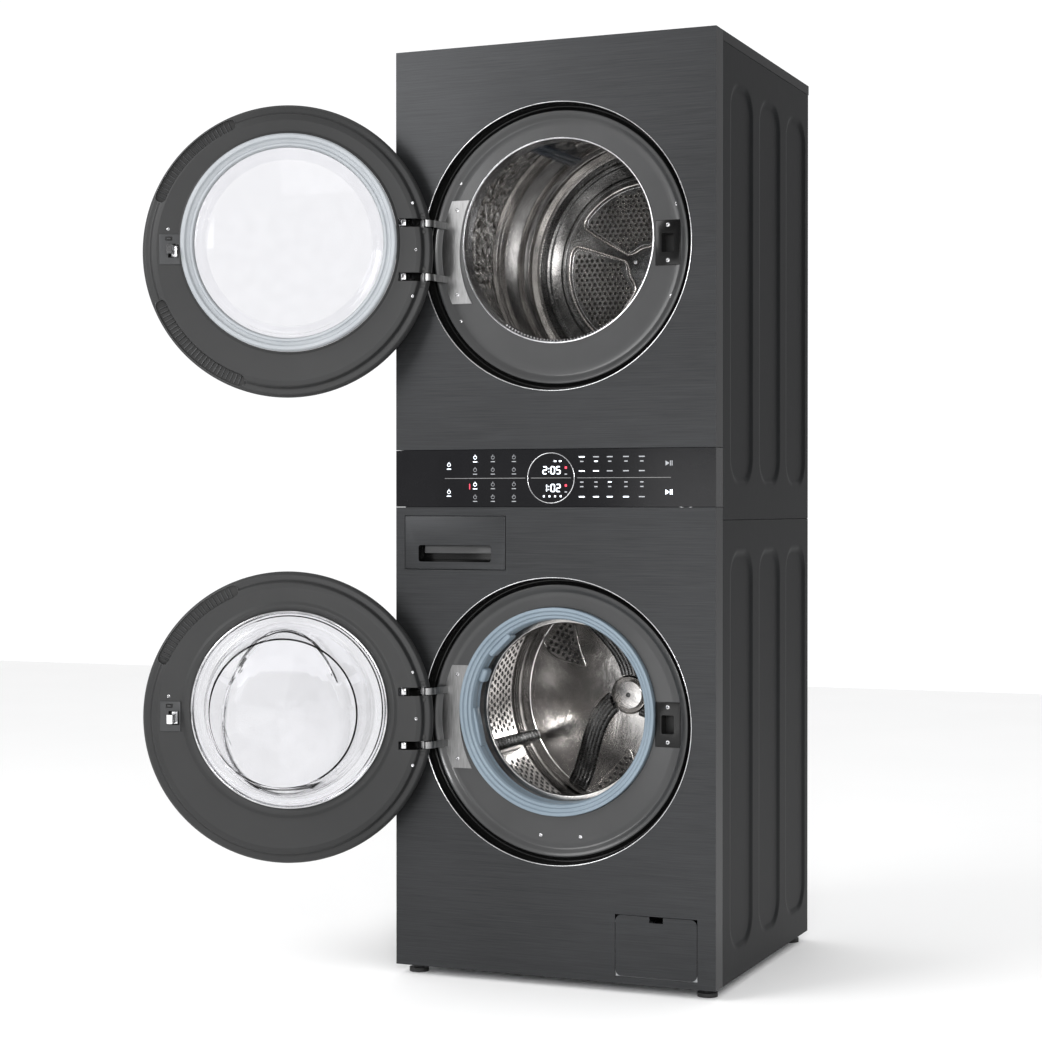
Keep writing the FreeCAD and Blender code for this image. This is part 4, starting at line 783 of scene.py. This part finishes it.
def door_windows():
    """Dryer seal and pane edge; washer trim ring and egg-shaped bowl."""
    y, mouth, body, move = PIN["dryer"].y, MOUTH_Z["dryer"], "dryer_door", swing("dryer")
    seal = [(220, 27, 0), (220, 38, 3), (216.5, 43.5, 3), (210.5, 42.5, 2), (207.5, 36.5, 2),
            (201.5, 34.5, 2),
            (199.5, 38, 2), (195.5, 38, 2), (193, 33, 2), (192, 26, 0)]
    gasket = turned("dryer_seal", seal, (0, mouth), y, body, "seal", "seal_rubber", move=move, steps=200)
    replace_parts(gasket, "dryer_door_seal")
    pane = [(191.6, 24.6, 0.5), (191.6, 33, 2), (187, 35.5, 2), (184, 31, 2), (179, 28.6, 3), (170, 27.8, 3),
            (168, 26, 1)]
    turned("dryer_pane_edge", pane, (0, mouth), y, body, *GLASS, move=move, steps=200)
    y, mouth, body, move = PIN["washer"].y, MOUTH_Z["washer"], "washer_door", swing("washer")
    trim = [(200.4, 26, 0.4), (200.6, 32.4, 1.2), (197.6, 33.4, 1.2), (194.6, 31, 1), (194.4, 26, 0.4)]
    turned("washer_glass_trim", trim, (0, mouth), y, body, "bright_lip", "clear_glass", move=move, steps=200)
    # radius, depth, and how far the section is egg-shaped
    sections = [(194, 22, 0), (193, 29, 0), (188, 35, 0), (182, 44, 0.3), (176, 56, 1), (171, 74, 1),
                (165, 96, 1),
                (157, 112, 1), (146, 122, 1), (130, 127, 1), (112, 128.5, 1), (60, 129, 1), (2, 129, 1)]
    wall = 5
    rings = [(0, mouth, r * MM, y + d * MM) for r, d, _ in sections]
    rings += [(0, mouth, max(r - wall, 1) * MM, y + (d - 4.5 if d > 30 else d) * MM)
              for r, d, _ in reversed(sections)]
    shares = [share for _, _, share in sections]
    shares += shares[::-1]

    def shaped(k, angle, radius, depth):
        r = radius * (1 - shares[k]) + egg(angle, radius) * shares[k]
        above = max(r * math.sin(angle) - 22 * MM, 0) if depth > y + 100 * MM else 0
        return r, depth - 0.42 * above

    loft("washer_bowl", rings, body, *GLASS, steps=200, move=move, warp=shaped, sharp=60)


def door_cover(machine):
    """Gloss cover with its rolled rim, the tinted outer window and the hook."""
    dress(machine + "_door_cover", "gloss_black", 0.6 * MM)
    dress(machine + "_door_glass", "clear_glass")
    dress(machine + "_door_hook", "bright_lip", 0.6 * MM)


def doors():
    """Both doors, made closed and carried open."""
    for machine in ("dryer", "washer"):
        door_inside(machine)
        grips(machine)
        door_hardware(machine)
        door_cover(machine)
    door_windows()


# ------------------------------------------------------------------ controls
MARK_FACES = FRONT - 0.45 * MM, FRONT - 0.05 * MM
SEGMENTS = {"0": "abcdef", "1": "bc", "2": "abged", "5": "afgcd"}


def bar(name, centre, wide, tall, look):
    """A thin lit or printed mark on the control strip, standing just proud of it."""
    x, z = centre
    outline = [(-wide / 2, -tall / 2), (wide / 2, -tall / 2), (wide / 2, tall / 2), (-wide / 2, tall / 2)]
    return prism(name, outline, (x * MM, z * MM), *MARK_FACES, "cabinet", look, "control_gloss")


def digit(name, text, x, z, high, look):
    """Seven-segment digit."""
    half, wide = high / 2, high * 0.55
    thick = high * 0.14
    places = {"a": (0, high), "g": (0, half), "d": (0, 0), "b": (wide / 2, half * 1.5),
              "c": (wide / 2, half * 0.5), "f": (-wide / 2, half * 1.5), "e": (-wide / 2, half * 0.5)}
    parts = []
    for segment in SEGMENTS[text]:
        px, pz = places[segment]
        flat = segment in "agd"
        size = (wide - thick * 0.6, thick) if flat else (thick, half - thick * 0.6)
        parts.append(bar(f"{name}_{segment}", (x + px, z - half + pz), *size, look))
    return parts


def icon(name, x, z, look):
    """Round control symbol with a tick at its top and a printed line below."""
    circle = [Vector(((x + 3.4 * math.cos(a)) * MM, FRONT - 0.35 * MM, (z + 3.4 * math.sin(a)) * MM))
              for a in [math.radians(120 + i * 15) for i in range(21)]]
    return [wire(name + "_ring", circle, 0.42 * MM, "cabinet", look, "control_gloss"),
            bar(name + "_tick", (x, z + 3.4), 1.0, 4.0, look),
            bar(name + "_line", (x, z - 8.6), 9, 1.6, look)]


def controls():
    """Lit, dim and red marks of the strip: two rows of time, the cycle icons, the options, the start keys."""
    lit, dim, red = [], [], []
    for row, hour, tens, ones in ((1032, "2", "0", "5"), (996.5, "1", "0", "2")):
        for title, text, x in (("hour", hour, -14), ("tens", tens, 3), ("ones", ones, 15)):
            lit += digit(f"{title}_{row}", text, x, row, 14, "white_glow")
        lit += [bar(f"colon_{row}_{side}", (-5.5, row + side * 3), 1.8, 1.8, "white_glow")
                for side in (-1, 1)]
        red.append(bar(f"alert_{row}", (31, row + 5), 4.4, 4.4, "red_glow"))
        dim.append(bar(f"unit_{row}", (31, row - 8), 5, 2.4, "dim_mark"))
    lit += [bar(f"stage_{i}", (-16 + i * 12, 980), 3.4, 3.4, "white_glow") for i in range(4)]
    lit += [bar(f"state_{i}", (8 + i * 11, 1050), 5, 3.0, "white_glow") for i in range(2)]
    for title, x, z in (("power_upper", -224, 1044), ("power_lower", -224, 989),
                        ("cycle_upper", -166, 1058.5), ("cycle_lower", -166, 1004)):
        lit += icon(title, x, z, "white_glow")
    for x in (-166, -127, -81):
        for z in (1058.5, 1033.5, 1004, 978.5):
            if x > -166 or z in (1033.5, 978.5):
                dim += icon(f"cycle_{x}_{z}", x, z, "dim_mark")
    red.append(bar("cycle_marker", (-178, 1000), 1.8, 11, "red_glow"))
    bright = {(65, 1058), (65, 1030), (95, 1030), (95, 1049), (124, 1008), (65, 979), (95, 979), (124, 979),
              (158, 979)}
    for x in (65, 95, 124, 158, 191):
        for z in (1058, 1049, 1030, 1008, 999, 979):
            wide = 12 if z in (1030, 979, 1058) else 7
            target, look = (lit, "white_glow") if (x, z) in bright else (dim, "dim_mark")
            target.append(bar(f"option_{x}_{z}", (x, z), wide, 2.2, look))
    arrow = [(-5, -5), (3, 0), (-5, 5)]
    for z, look, group in ((1044.5, "dim_mark", dim), (988, "white_glow", lit)):
        group.append(prism(f"start_{z}", arrow, (245 * MM, z * MM), *MARK_FACES, "cabinet", look,
                           "control_gloss"))
        group += [bar(f"pause_{z}_{x}", (x, z), 1.6, 10, look) for x in (250, 253.5)]
    angles = [math.radians(i * 4) for i in range(90)]
    circle = [Vector(((-1 + 50 * math.cos(a)) * MM, FRONT - 0.2 * MM, (1016.5 + 50 * math.sin(a)) * MM))
              for a in angles]
    wire("display_ring", circle, 1.0 * MM, "cabinet", *BRIGHT, closed=True)
    joined("divider_lines", [bar(f"divider_{i}", ((low + high) / 2, 1016.5), high - low, 1.1, "ring_mark")
                             for i, (low, high) in enumerate(((-233, -56), (55, 251), (-44, 42)))])
    joined("lit_marks", lit)
    joined("dim_marks", dim)
    joined("red_marks", red)


# ------------------------------------------------------------------ drawer and pump cover
def drawer():
    """Drawer face with a finger pocket let into it, and the ledge that the fingers pull."""
    low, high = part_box("drawer_front")
    at = Vector((low[0], FRONT, low[2]))
    wide, tall = (high[0] - low[0]) / MM, (high[2] - low[2]) / MM
    gloss = "gloss_black", "gloss_cover"
    face = slab("drawer_face", at, (0, -1, 0), (wide, 3.8, tall), 1.2, "drawer", "black_steel", "black_steel")
    carved(face, [slab("finger_cutter", at, (30.5, -12, 15), (191.5, 14, 49), 5, "drawer", *gloss)])
    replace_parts(face, "drawer_front")
    walls = (((28, 2, 49.2), (wide - 28, 26, 51.4)), ((28, 2, 12.6), (wide - 28, 26, 14.8)),
             ((28, 2, 12.6), (30.3, 26, 51.4)), ((191.7, 2, 12.6), (194, 26, 51.4)),
             ((28, 26, 12.6), (194, 28, 51.4)))
    joined("drawer_pocket", [slab(f"drawer_wall_{i}", at, a, b, 0.5, "drawer", *gloss)
                             for i, (a, b) in enumerate(walls)])
    ledge = slab("drawer_pull", at, (40, 9, 32), (191.6, 12, 49.2), 1.3, "drawer", "recess_plastic",
                 "dark_plastic")
    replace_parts(ledge, "drawer_front")


# ------------------------------------------------------------------ washer mouth and drum
WASHER_FINS = (205, 325, 85)           # angles of the washer drum's lifters
FACING = Vector((0, -1, 0)), Vector((1, 0, 0))   # normal and tangent of a wall that faces forwards


def about(mouth, degrees):
    """Turns a piece made towards +X about a line along Y through the centre of a mouth."""
    centre = Matrix.Translation((0, 0, mouth))
    return centre @ Matrix.Rotation(-math.radians(degrees), 4, "Y")


def bellows():
    """Folded rubber gasket between the washer's doorway and its tub, with its flap, nozzle and fold."""
    mouth, rubber = MOUTH_Z["washer"], ("gasket", "seal_rubber")
    outline = [(209.4, 19, 0.5), (208.5, 17.4, 1.5), (203, 17.6, 1.5), (200.5, 22, 2), (195, 22.4, 1.5),
               (193, 27, 2),
               (188.4, 27.6, 1.5), (185.5, 33, 2), (184.2, 46, 2), (187, 58, 4), (184.4, 66, 0.5),
               (202, 66.9, 0.5),
               (202, 45, 2), (209.4, 39, 0.5)]
    ring = turned("washer_bellows", outline, (0, mouth), FRONT, "cabinet", *rubber, steps=200)
    at = (0, FRONT, 0)
    details = [slab("bellows_flap", at, (176, 30, -30), (187, 62, 30), 3, "cabinet", *rubber,
                    about(mouth, 134)),
               slab("bellows_nozzle", at, (172, 36, -15), (187, 66, 15), 7, "cabinet", *rubber,
                    about(mouth, 158), 5),
               slab("bellows_fold", at, (179, 34, -40), (187, 62, 40), 3, "cabinet", *rubber,
                    about(mouth, 192))]
    for item in (ring, joined("bellows_details", details)):
        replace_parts(item, "door_gasket")


def on_back(mouth, radius, angle, depth):
    """A place on a drum's back, radius and depth in mm."""
    return Vector((radius * math.cos(angle) * MM, depth * MM, mouth + radius * math.sin(angle) * MM))


def dots(name, places, size, body, looks=("stainless", "pocket_black")):
    """Pressed holes: a small raised lip round a near-black disc of painted shade where the hole shows dark,
    at (centre, normal, tangent) places.
    """
    points, faces, indices = [], [], []
    profile = ((1.25, 0.0), (1.02, 0.22), (0.84, 0.10), (0.80, 0.03))
    sides = 10
    for centre, normal, tangent in places:
        other = normal.cross(tangent)
        first = len(points)
        for reach, lift in profile:
            for k in range(sides):
                a = 2 * math.pi * k / sides
                points.append(centre + (tangent * math.cos(a) + other * math.sin(a)) * (reach * size)
                              + normal * (lift * size))
        for ring in range(len(profile) - 1):
            for k in range(sides):
                m = (k + 1) % sides
                a, b = first + ring * sides, first + (ring + 1) * sides
                faces.append((a + k, a + m, b + m, b + k))
                indices.append(0)
        # the disc that closes the hole takes the second look: painted shade
        faces.append(tuple(first + (len(profile) - 1) * sides + k for k in range(sides)))
        indices.append(1)
    return piece(name, points, faces, body, looks[0], 50, looks[1:], indices)


def on_wall(mouth, radius, degrees, y):
    """A place on the inside of a drum's wall."""
    a = math.radians(degrees)
    out = Vector((math.cos(a), 0, math.sin(a)))
    return Vector((0, y, mouth)) + out * radius, -out, Vector((0, 1, 0))


def washer_drum():
    """The turned drum, ridged near its back, and its pressed holes."""
    mouth, body = MOUTH_Z["washer"], "washer_drum"
    ridges = [(r, y, 3) for low in (58, 70, 82) for r, y in ((243, low), (248.3, low + 6))]
    wall = [(177, -250, 1), (174.5, -247, 1.2), (177, -243, 1.5), (200, -243, 4), (247, -240, 10),
            (248.3, -222, 6),
            (248.3, 52, 4), *ridges, (247, 112, 8), (236, 127, 8), (200, 128, 0), (38, 128, 0),
            (38, 129.6, 0),
            (249.6, 129.8, 0), (249.8, -247.6, 0)]
    shell = turned("washer_drum_shell", wall, (0, mouth), 0.0, body, *STEEL, steps=200)
    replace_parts(shell, "washer_drum")
    places = []
    for row in range(16):
        for k in range(96):
            degrees = k * 3.75 + (row % 2) * 1.875
            if min(abs((degrees - fin + 180) % 360 - 180) for fin in WASHER_FINS) > 7:
                places.append(on_wall(mouth, 248.2 * MM, degrees, (-205 + row * 16) * MM))
    for fan in WASHER_FINS:
        for i in range(9):
            r = 128 + i * 12.5
            count = max(int((i + 2) * 0.8), 2)
            for k in range(count):
                spread = math.degrees(13.5 / r) * (k - (count - 1) / 2)
                a = math.radians(fan + 60 + spread - (r - 180) * 0.08)
                places.append((on_back(mouth, r, a, 127.6), *FACING))
    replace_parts(dots("washer_holes", places, 4.4 * MM, body), "washer_drum")


def washer_arms():
    """Three swept arms, each a bundle of beads, and a rim round each fan of holes between them."""
    mouth, body = MOUTH_Z["washer"], "washer_drum"
    arms = []
    for start in WASHER_FINS:
        for edge in range(-2, 3):
            y = 128.5 - (3.0 if abs(edge) < 2 else 0)
            bend = []
            for i in range(25):
                r = 44 + i * 8
                a = math.radians(start + 34 - 0.00095 * (236 - r) ** 2 + edge * math.degrees(8 / r))
                bend.append(on_back(mouth, r, a, y))
            arms.append(wire(f"washer_arm_{start}_{edge}", bend, 8.5 * MM, body, "dark_steel", "stainless",
                             sides=12))
        outline = []
        for i in range(40):
            t = 2 * math.pi * i / 40
            r = 182 + 62 * math.cos(t)
            a = math.radians(start + 60 + (5 + 13 * (r - 120) / 124) * math.sin(t) - (r - 180) * 0.08)
            outline.append(on_back(mouth, r, a, 127))
        arms.append(wire(f"washer_fan_{start}", outline, 2.6 * MM, body, *STEEL, closed=True))
    joined("washer_drum_arms", arms)
    cap = [(0, 116, 0), (30, 117, 4), (40, 121, 5), (43, 127.5, 1)]
    bolt = [(0, 113.6, 0), (4.4, 114, 0.8), (5.6, 117, 0.4)]
    hub = turned("washer_hub", cap, (0, mouth), 0.0, body, *STEEL, closed=False, steps=64)
    joined("washer_hub_cap", [hub, turned("washer_hub_bolt", bolt, (0, mouth), 0.0, body, "dark_steel",
                                          "stainless", closed=False, steps=20)])


def washer_fins():
    """Three lifters on the drum's wall, each ribbed along its crest."""
    body, plastic = "washer_drum", ("dark_steel", "dark_plastic")
    fins = []
    for degrees in WASHER_FINS:
        turn = about(MOUTH_Z["washer"], degrees)
        fins.append(slab(f"washer_fin_{degrees}", (0, 0, 0), (196, -214, -13), (248, 48, 13), 8, body,
                         *plastic,
                         turn, 4))
        fins += [slab(f"washer_rib_{degrees}_{y}", (0, y * MM, 0), (193, 0, -9), (206, 6, 9), 2, body,
                      *plastic, turn)
                 for y in range(-200, 40, 16)]
    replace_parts(joined("washer_fins", fins), "washer_lifters")


# ------------------------------------------------------------------ dryer mouth, drum and rear wall
def dryer_inside():
    """Dryer drum: hammered in front and ridged behind, its lifters, the doorway's rim and the lint grille."""
    mouth, body = MOUTH_Z["dryer"], "dryer_drum"
    front, count, hammered = -258, 46, 284
    plain = [(284.4, 30), (279, 36), (279, 40), (284.4, 47), (279, 54), (279, 58), (284.4, 66), (278, 73),
             (276, 78),
             (282, 84), (283.5, 92), (284.2, 160), (283, 172), (277, 178), (274, 186), (274.5, 214),
             (281, 222),
             (283, 232), (280, 246), (270, 253.8), (262.4, 254.6), (262.4, 255.9), (285.8, 255.9),
             (285.8, -261.8),
             (284.4, -261.8)]
    rows = [(284.2, front + i * (hammered / count)) for i in range(count + 1)]
    rings = [(0, mouth, r * MM, y * MM) for r, y in rows + plain]

    def pressed(k, angle, radius, depth):
        if not 0 < k < count:
            return radius, depth
        spot = Vector((angle * 284 * MM * 62, depth * 95, 3.7))
        first, second = noise.voronoi(spot)[0][:2]
        return radius - (min((second - first) * 1.6, 1.0) * 4.2) * MM, depth

    shell = loft("dryer_drum_shell", rings, body, "drum_texture", "stainless", steps=520, warp=pressed,
                 looks=("stainless",), pick=lambda k: 0 if k < count else 1, sharp=28)
    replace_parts(shell, "dryer_drum")
    fins = []
    for title, low, high, radius, steps in (("fin", (228, -236, -17), (284, 60, 17), 11, 5),
                                            ("crest", (224, -225, -5), (236, 40, 5), 4, 4)):
        fins += [slab(f"dryer_{title}_{degrees}", (0, 0, 0), low, high, radius, body, "lifter",
                      "dark_plastic",
                      about(mouth, degrees), steps) for degrees in (115, 235, 355)]
    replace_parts(joined("dryer_fins", fins), "dryer_lifters")
    rim = [(206.2, 30.4, 0.4), (206.4, 28.2, 0.8), (203.4, 28.6, 1), (202.8, 33, 1), (202.8, 68, 1),
           (205, 68, 0.4)]
    turned("dryer_mouth_rim", rim, (0, mouth), FRONT, "cabinet", *BRIGHT, steps=200)
    joined("lint_grille", [
        slab(f"lint_bar_{i}", (0, FRONT, 0), (198, 36, -1.6), (202.6, 66, 1.6), 0.7, "cabinet", "bright_lip",
             "dark_plastic", about(mouth, 236 + i * 2.1), 1) for i in range(34)])


def rear_wall():
    """Fixed back of the dryer: stepped ring and four perforated fans between crossed spokes."""
    mouth, body, spokes = MOUTH_Z["dryer"], "cabinet", (65, 155, 245, 335)
    steps = [(2, 254, 0), (196, 254, 0), (201, 250, 3), (207, 250, 3), (212, 256, 3), (236, 257, 3),
             (240, 253, 3),
             (247, 253, 3), (251, 259, 3), (286, 260, 0), (286, 264, 0), (2, 264, 0)]
    base = turned("dryer_back", steps, (0, mouth), 0.0, body, "dark_steel", "stainless", steps=180)
    borders = []
    for spoke in spokes:
        outline = sector(46, 190, spoke + 6.5, spoke + 83.5, 16)
        line = smoothed([Vector((x * MM, 251.6 * MM, mouth + z * MM)) for x, z in outline])
        borders.append(wire(f"fan_border_{spoke}", line, 3.2 * MM, body, *STEEL, closed=True))
        inner = [Vector((x * MM, 252.6 * MM, mouth + z * MM)) for x,
                 z in sector(53, 183, spoke + 9, spoke + 81, 13)]
        borders.append(wire(f"fan_edge_{spoke}", inner, 1.4 * MM, body, *BRIGHT, closed=True))
    places = []
    for row in range(-16, 17):
        for column in range(-17, 18):
            x, z = (column + (row % 2) / 2) * 12.4, row * 10.8
            r, a = math.hypot(x, z), (math.degrees(math.atan2(z, x)) - spokes[0]) % 90
            clear = math.degrees(9 / r) if r else 90
            if 62 < r < 176 and 8 + clear < a < 86 - clear:
                places.append((Vector((x * MM, 253.8 * MM, mouth + z * MM)), *FACING))
    holes = dots("dryer_back_holes", places, 4.3 * MM, body)
    dome = [(0, 248, 0), (4, 248.6, 1), (6.4, 250.5, 1), (7.4, 254, 0)]
    bolts = []
    for spoke in spokes:
        spot = on_back(mouth, 34, math.radians(spoke), 0)
        bolts.append(turned(f"back_bolt_{spoke}", dome, (spot.x, spot.z), 0.0, body, *BRIGHT, closed=False,
                            steps=20))
    for item in (base, holes, joined("dryer_back_borders", borders), joined("dryer_back_bolts", bolts)):
        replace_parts(item, "dryer_rear_bulkhead")


# ------------------------------------------------------------------ everything
dress_frame()
side_panels()
for title in ("dryer", "washer"):
    recess(title)
    latch(title)
hardware()
doors()
controls()
drawer()
bellows()
washer_drum()
washer_arms()
washer_fins()
dryer_inside()
rear_wall()
studio()
camera()
